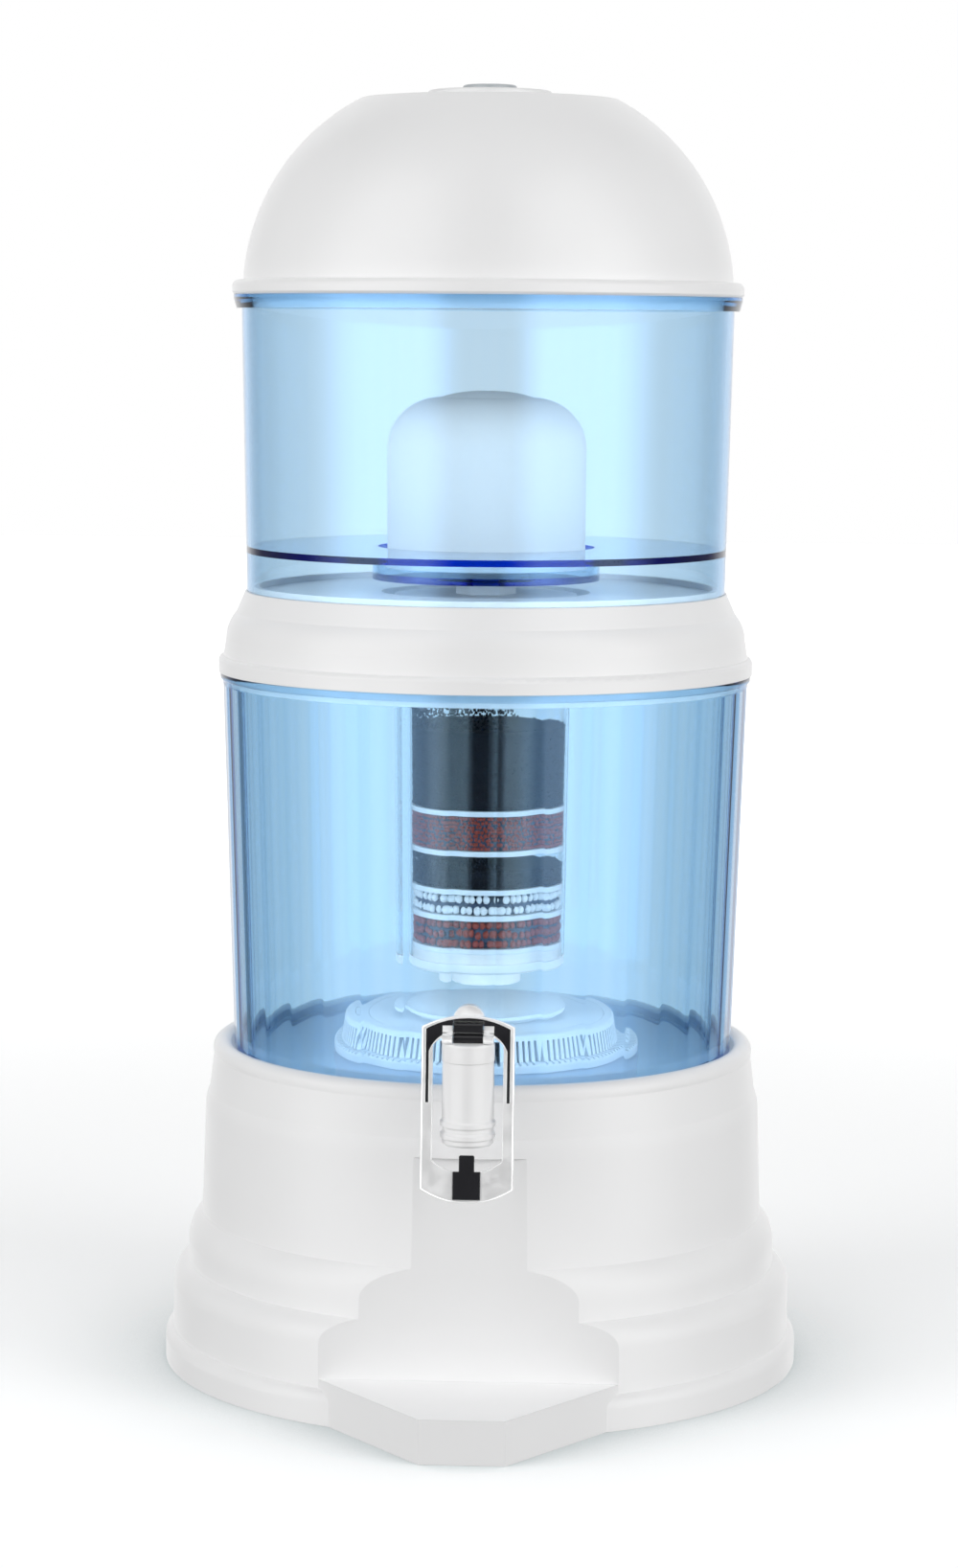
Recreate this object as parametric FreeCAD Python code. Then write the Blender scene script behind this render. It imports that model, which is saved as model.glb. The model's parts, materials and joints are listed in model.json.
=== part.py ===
import FreeCAD
import Part
import math
import os
from FreeCAD import Vector

# Gravity water filter with a self-closing tap, in millimetres.
# +Z is up, the front with the tap faces -Y, and the origin is the point where
# the axis of the tanks meets the surface that the stand rests on.

# Stand: one hollow moulding, open underneath
STAND_WALL = 2.6
DECK_TOP_Z = 143.0
DECK_THICKNESS = 2.6
LIP_RADIUS = 148.1
LIP_WALL_TOP_Z = 10.0
BAND_3_RADIUS = 144.5
BAND_3_BOTTOM_Z = 15.5
BAND_3_TOP_Z = 36.0
BAND_2_RADIUS = 137.3
BAND_2_BOTTOM_Z = 47.0
BAND_2_TOP_Z = 56.0
MAIN_WALL_LOW_RADIUS = 131.0
MAIN_WALL_TOP_RADIUS = 129.3
MAIN_WALL_BOTTOM_Z = 70.0
MAIN_WALL_TOP_Z = 119.5
RIM_LOW_RADIUS = 127.5
RIM_TOP_RADIUS = 125.4
RIM_STEP_Z = 127.5
RIM_SIDE_TOP_Z = 144.2
RIM_TOP_Z = 150.8
RIM_CROWN_RADIUS = 121.8
RIM_INNER_CORNER_DROP = 1.9
RIM_CLEARANCE = 1.4
RIB_THICKNESS = 2.2
RIB_COUNT = 12
RIB_DEPTH = 9.0

# Niche and drip shelf on the front of the stand
NICHE_FACE_Y = -128.5
NICHE_TOP_Y = -126.9
NICHE_LEAN_Z = 70.0
SHELF_TOP_Z = 19.7
SHELF_FRONT_Y = -189.0
SHELF_FRONT_HALF_WIDTH = 18.6
SHELF_BACK_HALF_WIDTH = 66.0
SHELF_ROOT_OVERLAP = 10.4
CUT_OVERRUN = 10.0

# Lower tank: faceted outside, round inside
LOWER_TANK_HEIGHT = 179.3
LOWER_TANK_BOTTOM_RADIUS = 115.9
LOWER_TANK_TOP_RADIUS = 121.4
LOWER_TANK_WALL = 2.6
LOWER_TANK_FLOOR = 3.0
LOWER_TANK_EDGE = 3.0
FACET_COUNT = 36
TANK_RING_HEIGHT = 3.3
TANK_RING_RADIUS = 122.6
TANK_NECK_HEIGHT = 2.6

# Collar between the tanks
COLLAR_HEIGHT = 37.0
COLLAR_FLANGE_RADIUS = 123.4
COLLAR_FLANGE_HEIGHT = 6.4
COLLAR_BAND_RADIUS = 121.2
COLLAR_BAND_HEIGHT = 6.5
COLLAR_WALL = 2.4
COLLAR_SHOULDER_RADIUS = 115.3
COLLAR_SHOULDER_HEIGHT = 27.4
COLLAR_HOLE_RADIUS = 48.0
COLLAR_LOCATOR_DROP = 6.0
COLLAR_LOCATOR_WALL = 2.2
UPPER_LOCATOR_RISE = 2.6
LOCATOR_CLEARANCE = 0.8

# Upper tank
UPPER_TANK_HEIGHT = 135.2
UPPER_TANK_SKIRT_RADIUS = 110.3
UPPER_TANK_MOUTH_RADIUS = 113.0
UPPER_TANK_WALL = 2.5
UPPER_TANK_SKIRT_HEIGHT = 17.7
UPPER_TANK_FLOOR = 3.0
BEAD_RADIUS = 116.6
BEAD_LOW_RADIUS = 115.3
BEAD_HEIGHT = 6.1
BEAD_LIP_HEIGHT = 1.5
WELL_RADIUS = 50.0
WELL_DEPTH = 12.0

# Lid, knob and the knob's insert
LID_HEIGHT = 89.0
LID_SPRING_RISE = 0.7
LID_WALL = 2.5
LID_TOP_RADIUS = 59.0
LID_BODY_RADIUS = 112.4
LID_FLANGE_RADIUS = 117.2
LID_FLANGE_HEIGHT = 6.2
LID_LOCATOR_DROP = 5.5
KNOB_RADIUS = 28.4
KNOB_HEIGHT = 4.0
KNOB_EDGE = 1.4
KNOB_BOSS_RADIUS = 7.0
INSERT_RADIUS = 12.4
INSERT_PROUD = 2.5
INSERT_SUNK = 1.0
KNOB_WASHER_RADIUS = 14.0
KNOB_WASHER_THICKNESS = 1.6
KNOB_SCREW_RADIUS = 2.0
KNOB_SCREW_LENGTH = 6.2
KNOB_SCREW_END_GAP = 0.8
KNOB_SCREW_HEAD_RADIUS = 4.5
KNOB_SCREW_HEAD_HEIGHT = 2.6
SCREW_SLOT_WIDTH = 1.2
SCREW_SLOT_DEPTH = 1.0
BOSS_CLEARANCE = 0.3

# Ceramic filter in the well of the upper tank
CERAMIC_RADIUS = 45.7
CERAMIC_HEIGHT = 76.0
CERAMIC_SHOULDER = 24.0
CERAMIC_CROWN = 3.0
CERAMIC_FLAT_RADIUS = 3.0
CERAMIC_WALL = 8.0
CERAMIC_PLATE_RADIUS = 46.6
CERAMIC_PLATE_THICKNESS = 5.0
CERAMIC_STEM_RADIUS = 6.0
CERAMIC_STEM_BORE = 2.5
CERAMIC_STEM_LENGTH = 26.0
SEAL_RADIUS = 20.0
SEAL_THICKNESS = 2.5
STEM_CLEARANCE = 0.3
FILTER_NUT_FLATS = 24.0
FILTER_NUT_FLANGE_RADIUS = 15.0
FILTER_NUT_FLANGE_HEIGHT = 1.6
FILTER_NUT_HEIGHT = 5.0

# Cartridge that hangs under the upper tank
CARTRIDGE_TOP_RADIUS = 39.7
CARTRIDGE_BOTTOM_RADIUS = 37.7
CARTRIDGE_WALL = 1.8
CARTRIDGE_CAP_WALL = 2.2
CARTRIDGE_CAP_HEIGHT = 34.0
CARTRIDGE_BOSS_RADIUS = 11.0
CARTRIDGE_BOSS_HEIGHT = 16.0
GASKET_THICKNESS = 2.5
PACKING_CLEARANCE = 0.15
SEPARATOR_THICKNESS = 2.4
SEPARATOR_HOLE_RADIUS = 1.6
SEPARATOR_HOLE_RINGS = 3
SEPARATOR_HOLE_STEP = 9.0
CARTRIDGE_CASE_GAP = 11.5
FINE_BEADS_HEIGHT = 16.0
LOWER_CARBON_HEIGHT = 15.4
WHITE_BEADS_HEIGHT = 9.6
COARSE_BEADS_HEIGHT = 12.9
OUTLET_HEIGHT = 9.2
OUTLET_NOZZLE_RADIUS = 18.0
OUTLET_NOZZLE_LENGTH = 8.0
OUTLET_BORE_RADIUS = 13.0
OUTLET_EDGE = 1.0
OUTLET_HOLE_RADIUS = 1.5
OUTLET_HOLE_REACH = 8.5
OUTLET_HOLE_COUNT = 12

# Mineral stone case on the floor of the lower tank
CASE_FLANGE_RADIUS = 71.4
CASE_FLANGE_HEIGHT = 4.5
CASE_LOW_RADIUS = 66.0
CASE_TOP_RADIUS = 63.0
CASE_HEIGHT = 16.0
CASE_WALL = 2.0
CASE_EDGE = 1.8
CASE_SLOT_COUNT = 120
CASE_SLOT_WIDTH = 1.3
CASE_SLOT_MARGIN = 2.6
CASE_LID_NECK_RADIUS = 34.0
CASE_LID_NECK_HEIGHT = 2.2
CASE_KNOB_RADIUS = 38.7
CASE_KNOB_HEIGHT = 1.8
CASE_LID_RADIUS = 56.0
CASE_LID_CLEARANCE = 0.25
STONE_RADIUS = 5.3
STONE_PITCH = 12.2
STONE_RINGS = 3

# Tap: body through the wall of the lower tank
TAP_SHANK_Z = 157.0
TAP_AXIS_Y = -152.0
SHANK_RADIUS = 7.0
SHANK_BORE_RADIUS = 4.0
SHANK_CLEARANCE = 0.3
SHANK_NECK_RADIUS = 8.0
SHANK_INNER_REACH = 3.4
TAP_FLANGE_RADIUS = 9.4
TAP_FLANGE_THICKNESS = 2.8
WASHER_RADIUS = 9.4
FRONT_WASHER_THICKNESS = 2.6
INNER_WASHER_THICKNESS = 2.2
WALL_PAD_RADIUS = 9.7
WALL_PAD_PROUD = 0.9
LOCK_NUT_FLATS = 17.0
LOCK_NUT_THICKNESS = 6.0
THREAD_CLEARANCE = 0.1
NOTCH_CLEARANCE = 0.8

# Tap: barrel, bonnet, stem and seat
BARREL_RADIUS = 11.2
BARREL_BOTTOM_Z = 131.5
BARREL_TOP_Z = 168.0
BARREL_EDGE = 1.0
CHAMBER_RADIUS = 7.5
CHAMBER_FLOOR_Z = 140.2
SPOUT_RADIUS = 4.5
SEAT_RING_WIDTH = 0.9
SEAT_RING_HEIGHT = 0.8
COUNTERBORE_RADIUS = 9.0
COUNTERBORE_DEPTH = 5.0
RIB_RING_PROUD = 0.8
RIB_RING_WIDTH = 3.4
RIB_RING_LOW_Z = 134.1
RIB_RING_PITCH = 5.1
BONNET_RADIUS = 11.4
BONNET_HEIGHT = 8.0
BONNET_EDGE = 0.9
STEM_RADIUS = 2.2
STEM_RUNNING_CLEARANCE = 0.05
STEM_FOOT_RADIUS = 4.4
STEM_FOOT_HEIGHT = 2.2
SEAT_CUP_RADIUS = 6.2
SEAT_CUP_HEIGHT = 6.4
SEAT_CUP_FLOOR = 1.8
STEM_COLLAR_RADIUS = 6.4
STEM_COLLAR_THICKNESS = 1.5
SPRING_RADIUS = 4.4
SPRING_WIRE_RADIUS = 0.45
SPRING_TURNS = 5
SPRING_END_GAP = 0.05

# Tap: head, pivot pin and the oblong push lever
PIVOT_RISE = 4.0
PIVOT_RADIUS = 1.5
PIVOT_CLEARANCE = 0.05
HEAD_HALF_WIDTH = 6.3
HEAD_FRONT = 3.2
HEAD_BACK = 3.4
HEAD_TOP = 4.2
HEAD_LIFT_GAP = 0.25
HEAD_GROOVE = 1.8
HEAD_EDGE = 0.6
HEAD_LEDGE = 0.7
CROWN_RADIUS = 6.9
CROWN_RISE = 4.4
CROWN_DEPTH = 4.6
LEVER_TILT_DEG = 8.0
LEVER_DEPTH = 4.0
LEVER_HALF_WIDTH = 20.0
LEVER_LEG_WIDTH = 4.8
LEVER_TOP = 7.5
LEVER_TOP_SAG = 5.0
LEVER_BOTTOM = -73.0
LEVER_BOTTOM_SAG = 6.0
LEVER_EDGE = 0.7
OPENING_TOP = 1.0
OPENING_TOP_SAG = 6.5
OPENING_BOTTOM = -60.5
OPENING_BOTTOM_SAG = 5.5
WINDOW_TOP = 5.0
WINDOW_CLEARANCE = 0.35
CHEEK_WIDTH = 4.4
CHEEK_PIVOT_RADIUS = 3.6
CAM_OFFSET = 6.0
CAM_GAP = 0.12
INLAY_DEPTH = 1.2
INLAY_MARGIN = 1.9
INLAY_LINE_WIDTH = 1.3
INLAY_LEG_REACH = -30.0
INLAY_CROOK_Z = -8.0
INLAY_BAND_Z = 0.5
PAD_HALF_WIDTH = 5.9
PAD_TIP_HALF_WIDTH = 3.3
PAD_TIP_TOP = -52.5
PAD_STEP = -59.5
PAD_SUNK = 1.6
PAD_PROUD = 0.5

# Heights that follow from the stack of the main pieces
TANK_FLOOR_Z = DECK_TOP_Z + LOWER_TANK_FLOOR
LOWER_TOP_Z = DECK_TOP_Z + LOWER_TANK_HEIGHT
COLLAR_TOP_Z = LOWER_TOP_Z + COLLAR_HEIGHT
UPPER_FLOOR_Z = COLLAR_TOP_Z + UPPER_TANK_SKIRT_HEIGHT + UPPER_TANK_FLOOR
WELL_FLOOR_Z = UPPER_FLOOR_Z - WELL_DEPTH
UPPER_TOP_Z = COLLAR_TOP_Z + UPPER_TANK_HEIGHT
LID_TOP_Z = UPPER_TOP_Z + LID_HEIGHT
KNOB_TOP_Z = LID_TOP_Z + KNOB_HEIGHT
CERAMIC_PLATE_Z = WELL_FLOOR_Z + SEAL_THICKNESS
FILTER_NUT_TOP_Z = WELL_FLOOR_Z - UPPER_TANK_FLOOR
CAP_TOP_Z = FILTER_NUT_TOP_Z - FILTER_NUT_FLANGE_HEIGHT - FILTER_NUT_HEIGHT
SHELL_TOP_Z = CAP_TOP_Z - CARTRIDGE_CAP_WALL - GASKET_THICKNESS
CASE_LID_TOP_Z = TANK_FLOOR_Z + CASE_HEIGHT + CASE_LID_NECK_HEIGHT + CASE_KNOB_HEIGHT
OUTLET_TOP_Z = CASE_LID_TOP_Z + CARTRIDGE_CASE_GAP + OUTLET_NOZZLE_LENGTH + OUTLET_HEIGHT
LOWER_LAYERS = [
    ("fine_red_beads", FINE_BEADS_HEIGHT),
    ("lower_carbon_bed", LOWER_CARBON_HEIGHT),
    ("white_beads", WHITE_BEADS_HEIGHT),
    ("coarse_red_beads", COARSE_BEADS_HEIGHT),
]
LOWER_LAYERS_HEIGHT = sum(height for _, height in LOWER_LAYERS)
SEPARATORS_HEIGHT = (len(LOWER_LAYERS) + 2) * SEPARATOR_THICKNESS
UPPER_CARBON_HEIGHT = SHELL_TOP_Z - OUTLET_TOP_Z - LOWER_LAYERS_HEIGHT - SEPARATORS_HEIGHT
LAYER_HEIGHTS = [("upper_carbon_bed", UPPER_CARBON_HEIGHT)] + LOWER_LAYERS
SHELL_BOTTOM_Z = OUTLET_TOP_Z - OUTLET_HEIGHT / 2
BONNET_TOP_Z = BARREL_TOP_Z + BONNET_HEIGHT
PIVOT_Z = BONNET_TOP_Z + PIVOT_RISE
SEAT_Z = CHAMBER_FLOOR_Z + SEAT_RING_HEIGHT
STEM_COLLAR_Z = SEAT_Z + SEAT_CUP_HEIGHT
SPRING_BOTTOM_Z = STEM_COLLAR_Z + STEM_COLLAR_THICKNESS
SPRING_TOP_Z = BARREL_TOP_Z - COUNTERBORE_DEPTH
UP = Vector(0, 0, 1)
POINT_TOLERANCE = 1e-6


def outline_face(points):
    """Flat face in the XZ plane from (x, z) points; a pair of points is an arc's middle and end."""
    edges = []
    start = Vector(points[0][0], 0, points[0][1])
    first = start
    for item in points[1:]:
        if isinstance(item[0], tuple):
            middle = Vector(item[0][0], 0, item[0][1])
            end = Vector(item[1][0], 0, item[1][1])
            edges.append(Part.Arc(start, middle, end).toShape())
        else:
            end = Vector(item[0], 0, item[1])
            edges.append(Part.makeLine(start, end))
        start = end
    if start.distanceToPoint(first) > POINT_TOLERANCE:
        edges.append(Part.makeLine(start, first))
    return Part.Face(Part.Wire(edges))


def revolved(points):
    """Solid of revolution about the Z axis of a closed (radius, height) outline."""
    return outline_face(points).revolve(Vector(0, 0, 0), UP, 360)


def cylinder(radius, low_z, high_z, x=0.0, y=0.0):
    """Upright cylinder between two heights."""
    return Part.makeCylinder(radius, high_z - low_z, Vector(x, y, low_z), UP)


def bar(radius, low_y, high_y, z, x=0.0):
    """Cylinder along Y between two depths."""
    return Part.makeCylinder(radius, high_y - low_y, Vector(x, low_y, z), Vector(0, 1, 0))


def block(low, high):
    """Box between two opposite corners."""
    low, high = Vector(*low), Vector(*high)
    size = high - low
    return Part.makeBox(size.x, size.y, size.z, low)


def arc_to(low_radius, low_z, high_radius, high_z):
    """Arc, upright where it starts at its low end and leaning in or out, as an outline's (middle, end)."""
    run = low_radius - high_radius
    rise = high_z - low_z
    bulge = math.tan(math.atan2(run, rise) / 2) / 2
    middle = ((low_radius + high_radius) / 2 + rise * bulge, (low_z + high_z) / 2 + run * bulge)
    return (middle, (high_radius, high_z))


def hexagon(flats, low, high, direction):
    """Hexagonal prism of a nut between two points."""
    corner = flats / math.cos(math.pi / 6) / 2
    side = Vector(1, 0, 0)
    points = []
    for step in range(7):
        turn = FreeCAD.Rotation(direction, 60.0 * step)
        points.append(low + turn.multVec(side * corner))
    return Part.Face(Part.makePolygon(points)).extrude(high - low)


def polygon_ring(radius, z, count):
    """Closed regular polygon whose first side faces the front."""
    points = []
    for step in range(count + 1):
        angle = -math.pi / 2 + math.pi / count + 2 * math.pi * step / count
        points.append(Vector(radius * math.cos(angle), radius * math.sin(angle), z))
    return Part.makePolygon(points)


def tank_vertex_radius(z):
    """Radius of the lower tank's outer corners at a height."""
    share = (z - DECK_TOP_Z) / (LOWER_TANK_HEIGHT - TANK_RING_HEIGHT)
    return LOWER_TANK_BOTTOM_RADIUS + share * (LOWER_TANK_TOP_RADIUS - LOWER_TANK_BOTTOM_RADIUS)


def tank_face_radius(z):
    """Distance of the lower tank's outer flats from the axis at a height."""
    return tank_vertex_radius(z) * math.cos(math.pi / FACET_COUNT)


def tank_bore_radius(z):
    """Inner radius of the lower tank at a height."""
    return tank_face_radius(z) - LOWER_TANK_WALL


WALL_PAD_FRONT_Y = -tank_face_radius(TAP_SHANK_Z) - WALL_PAD_PROUD
WALL_PAD_INNER_Y = -tank_bore_radius(TAP_SHANK_Z) + WALL_PAD_PROUD


def stand_bands(shrink, floor_z, top_z):
    """Stepped outline of the stand from its lip to its step, drawn in by a wall thickness."""
    lip = (LIP_RADIUS - shrink, LIP_WALL_TOP_Z - shrink)
    band_3_low = (BAND_3_RADIUS - shrink, BAND_3_BOTTOM_Z - shrink)
    band_3_top = (BAND_3_RADIUS - shrink, BAND_3_TOP_Z - shrink)
    band_2_low = (BAND_2_RADIUS - shrink, BAND_2_BOTTOM_Z - shrink)
    band_2_top = (BAND_2_RADIUS - shrink, BAND_2_TOP_Z - shrink)
    main_low = (MAIN_WALL_LOW_RADIUS - shrink, MAIN_WALL_BOTTOM_Z - shrink)
    main_top = (MAIN_WALL_TOP_RADIUS - shrink, MAIN_WALL_TOP_Z - shrink)
    return [
        (0, floor_z),
        (LIP_RADIUS - shrink, floor_z),
        lip,
        arc_to(*lip, *band_3_low),
        band_3_top,
        arc_to(*band_3_top, *band_2_low),
        band_2_top,
        arc_to(*band_2_top, *main_low),
        main_top,
        arc_to(*main_top, RIM_LOW_RADIUS - shrink, top_z),
    ]


def niche_space(inset):
    """Space in front of the niche wall, moved back by a wall thickness."""
    far = SHELF_FRONT_Y - CUT_OVERRUN
    low = SHELF_TOP_Z - inset
    side = BAND_3_RADIUS
    points = [
        Vector(-side, far, low),
        Vector(-side, NICHE_FACE_Y + inset, low),
        Vector(-side, NICHE_FACE_Y + inset, NICHE_LEAN_Z),
        Vector(-side, NICHE_TOP_Y + inset, MAIN_WALL_TOP_Z + inset),
        Vector(-side, far, MAIN_WALL_TOP_Z + inset),
        Vector(-side, far, low),
    ]
    return Part.Face(Part.makePolygon(points)).extrude(Vector(2 * side, 0, 0))


def shelf_prism(inset, low_z):
    """Drip shelf in front of the niche, drawn in by a wall thickness."""
    run = abs(SHELF_FRONT_Y - NICHE_FACE_Y)
    slope = math.hypot(SHELF_BACK_HALF_WIDTH - SHELF_FRONT_HALF_WIDTH, run) / run
    narrower = min(LIP_RADIUS, BAND_3_RADIUS)
    back_y = -math.sqrt(narrower ** 2 - SHELF_BACK_HALF_WIDTH ** 2)
    root_y = back_y + SHELF_ROOT_OVERLAP
    front = SHELF_FRONT_HALF_WIDTH - inset * slope
    back = SHELF_BACK_HALF_WIDTH - inset * slope
    points = [
        Vector(-front, SHELF_FRONT_Y + inset, low_z),
        Vector(front, SHELF_FRONT_Y + inset, low_z),
        Vector(back, back_y, low_z),
        Vector(back, root_y, low_z),
        Vector(-back, root_y, low_z),
        Vector(-back, back_y, low_z),
        Vector(-front, SHELF_FRONT_Y + inset, low_z),
    ]
    return Part.Face(Part.makePolygon(points)).extrude(Vector(0, 0, SHELF_TOP_Z - inset - low_z))


def tap_notch():
    """Space that the tap's flange and washer need in the stand's rim."""
    radius = WALL_PAD_RADIUS + NOTCH_CLEARANCE
    far_y = -RIM_LOW_RADIUS - STAND_WALL
    round_part = bar(radius, far_y, -LOWER_TANK_BOTTOM_RADIUS + STAND_WALL, TAP_SHANK_Z)
    upper = block(
        (-radius, far_y, TAP_SHANK_Z),
        (radius, -LOWER_TANK_BOTTOM_RADIUS + STAND_WALL, RIM_TOP_Z + WALL_PAD_RADIUS),
    )
    return round_part.fuse(upper)


def stand_blocks():
    """Outer form of the stand with its seat for the tank, niche and shelf, and its hollow."""
    rim_inner = tank_vertex_radius(RIM_TOP_Z) + RIM_CLEARANCE
    corner_z = RIM_TOP_Z - RIM_INNER_CORNER_DROP
    shell = revolved(
        stand_bands(0, 0, RIM_STEP_Z)
        + [
            (RIM_TOP_RADIUS, RIM_SIDE_TOP_Z),
            ((RIM_CROWN_RADIUS, RIM_TOP_Z), (rim_inner, corner_z)),
            (rim_inner, DECK_TOP_Z),
            (0, DECK_TOP_Z),
        ]
    )
    under_deck = DECK_TOP_Z - DECK_THICKNESS
    hollow = revolved(
        stand_bands(STAND_WALL, 0, RIM_STEP_Z)
        + [(RIM_TOP_RADIUS - STAND_WALL, under_deck), (0, under_deck)]
    )
    shell = shell.cut(niche_space(0)).fuse(shelf_prism(0, 0))
    hollow = hollow.cut(niche_space(STAND_WALL))
    return shell, hollow


def base_stand():
    """The stand with its hollow, ribs and tap notch."""
    shell, hollow = stand_blocks()
    hollow = hollow.fuse(shelf_prism(STAND_WALL, 0))
    ribs = []
    for step in range(RIB_COUNT):
        angle = 360.0 * (step + 0.5) / RIB_COUNT
        inner = MAIN_WALL_TOP_RADIUS - STAND_WALL - RIB_DEPTH
        rib = block(
            (inner, -RIB_THICKNESS / 2, BAND_2_BOTTOM_Z),
            (RIM_TOP_RADIUS - STAND_WALL, RIB_THICKNESS / 2, DECK_TOP_Z - DECK_THICKNESS / 2),
        )
        rib.rotate(Vector(0, 0, 0), UP, angle)
        ribs.append(rib)
    hollow = hollow.cut(Part.makeCompound(ribs))
    return shell.cut(hollow).cut(tap_notch())


def lower_tank():
    """Faceted see-through tank with a round bore, a top ring and a hole for the tap."""
    facet_top = LOWER_TOP_Z - TANK_RING_HEIGHT - TANK_NECK_HEIGHT
    edge_z = DECK_TOP_Z + LOWER_TANK_EDGE
    sections = [
        polygon_ring(tank_vertex_radius(DECK_TOP_Z) - LOWER_TANK_EDGE, DECK_TOP_Z, FACET_COUNT),
        polygon_ring(tank_vertex_radius(edge_z), edge_z, FACET_COUNT),
        polygon_ring(tank_vertex_radius(facet_top), facet_top, FACET_COUNT),
    ]
    facets = Part.makeLoft(sections, True, True)
    neck_radius = tank_vertex_radius(facet_top)
    ring_z = LOWER_TOP_Z - TANK_RING_HEIGHT
    neck = revolved([
        (0, facet_top),
        (neck_radius, facet_top),
        (tank_vertex_radius(ring_z), ring_z),
        (TANK_RING_RADIUS, ring_z),
        (TANK_RING_RADIUS, LOWER_TOP_Z),
        (0, LOWER_TOP_Z),
    ])
    pad = bar(WALL_PAD_RADIUS, WALL_PAD_FRONT_Y, WALL_PAD_INNER_Y, TAP_SHANK_Z)
    corner = LOWER_TANK_EDGE
    floor_radius = tank_bore_radius(TANK_FLOOR_Z + corner)
    bore = revolved([
        (0, TANK_FLOOR_Z),
        (floor_radius - corner, TANK_FLOOR_Z),
        (
            (floor_radius - corner * (1 - math.sin(math.pi / 4)),
             TANK_FLOOR_Z + corner * (1 - math.cos(math.pi / 4))),
            (floor_radius, TANK_FLOOR_Z + corner),
        ),
        (tank_bore_radius(LOWER_TOP_Z), LOWER_TOP_Z),
        (0, LOWER_TOP_Z),
    ])
    tank = facets.fuse(neck).cut(bore).fuse(pad)
    hole = bar(
        SHANK_RADIUS + SHANK_CLEARANCE,
        WALL_PAD_FRONT_Y - CUT_OVERRUN,
        WALL_PAD_INNER_Y + CUT_OVERRUN,
        TAP_SHANK_Z,
    )
    return tank.cut(hole)


def tank_collar():
    """Cover of the lower tank that carries the upper tank, with a hole for the cartridge."""
    z0, z1 = LOWER_TOP_Z, COLLAR_TOP_Z
    flange_z = z0 + COLLAR_FLANGE_HEIGHT
    band_z = flange_z + COLLAR_BAND_HEIGHT + COLLAR_WALL
    shoulder_z = z0 + COLLAR_SHOULDER_HEIGHT
    top_radius = UPPER_TANK_SKIRT_RADIUS + LOCATOR_CLEARANCE
    band_top_radius = COLLAR_BAND_RADIUS - COLLAR_WALL / 2
    locator = tank_bore_radius(LOWER_TOP_Z - COLLAR_LOCATOR_DROP) - LOCATOR_CLEARANCE
    upper_locator = UPPER_TANK_SKIRT_RADIUS - UPPER_TANK_WALL - LOCATOR_CLEARANCE
    wall = COLLAR_WALL
    shoulder = arc_to(band_top_radius, band_z, COLLAR_SHOULDER_RADIUS, shoulder_z)
    inner_shoulder = arc_to(band_top_radius - wall, band_z, COLLAR_SHOULDER_RADIUS - wall, shoulder_z)
    return revolved([
        (locator, z0),
        (COLLAR_FLANGE_RADIUS, z0),
        (COLLAR_FLANGE_RADIUS, flange_z - wall / 2),
        arc_to(COLLAR_FLANGE_RADIUS, flange_z - wall / 2, COLLAR_BAND_RADIUS, flange_z + wall / 2),
        (band_top_radius, band_z),
        shoulder,
        (top_radius, z1),
        (upper_locator, z1),
        (upper_locator, z1 + UPPER_LOCATOR_RISE),
        (upper_locator - wall, z1 + UPPER_LOCATOR_RISE),
        (upper_locator - wall, z1),
        (COLLAR_HOLE_RADIUS, z1),
        (COLLAR_HOLE_RADIUS, z1 - 2 * wall),
        (COLLAR_HOLE_RADIUS + wall, z1 - 2 * wall),
        (COLLAR_HOLE_RADIUS + wall, z1 - wall),
        (top_radius - wall, z1 - wall),
        (COLLAR_SHOULDER_RADIUS - wall, shoulder_z),
        (inner_shoulder[0], (band_top_radius - wall, band_z)),
        (locator - COLLAR_LOCATOR_WALL + wall, z0 + wall),
        (locator - COLLAR_LOCATOR_WALL, z0),
        (locator - COLLAR_LOCATOR_WALL, z0 - COLLAR_LOCATOR_DROP),
        (locator, z0 - COLLAR_LOCATOR_DROP),
    ])


def upper_wall_radius(z):
    """Outer radius of the upper tank's wall at a height."""
    share = (z - COLLAR_TOP_Z) / UPPER_TANK_HEIGHT
    return UPPER_TANK_SKIRT_RADIUS + share * (UPPER_TANK_MOUTH_RADIUS - UPPER_TANK_SKIRT_RADIUS)


def upper_tank():
    """See-through upper tank with a skirt, a well in its floor and a bead at its mouth."""
    wall = UPPER_TANK_WALL
    under_floor = UPPER_FLOOR_Z - UPPER_TANK_FLOOR
    well_bottom = WELL_FLOOR_Z - UPPER_TANK_FLOOR
    bead_z = UPPER_TOP_Z - BEAD_HEIGHT
    hole = CERAMIC_STEM_RADIUS + STEM_CLEARANCE
    return revolved([
        (upper_wall_radius(COLLAR_TOP_Z) - wall, COLLAR_TOP_Z),
        (upper_wall_radius(COLLAR_TOP_Z), COLLAR_TOP_Z),
        (upper_wall_radius(bead_z), bead_z),
        (BEAD_LOW_RADIUS, bead_z),
        (BEAD_RADIUS, UPPER_TOP_Z - BEAD_LIP_HEIGHT),
        (BEAD_RADIUS, UPPER_TOP_Z),
        (upper_wall_radius(UPPER_TOP_Z) - wall, UPPER_TOP_Z),
        (upper_wall_radius(UPPER_FLOOR_Z) - wall, UPPER_FLOOR_Z),
        (WELL_RADIUS, UPPER_FLOOR_Z),
        (WELL_RADIUS, WELL_FLOOR_Z),
        (hole, WELL_FLOOR_Z),
        (hole, well_bottom),
        (WELL_RADIUS + wall, well_bottom),
        (WELL_RADIUS + wall, under_floor),
        (upper_wall_radius(under_floor) - wall, under_floor),
    ])


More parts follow.
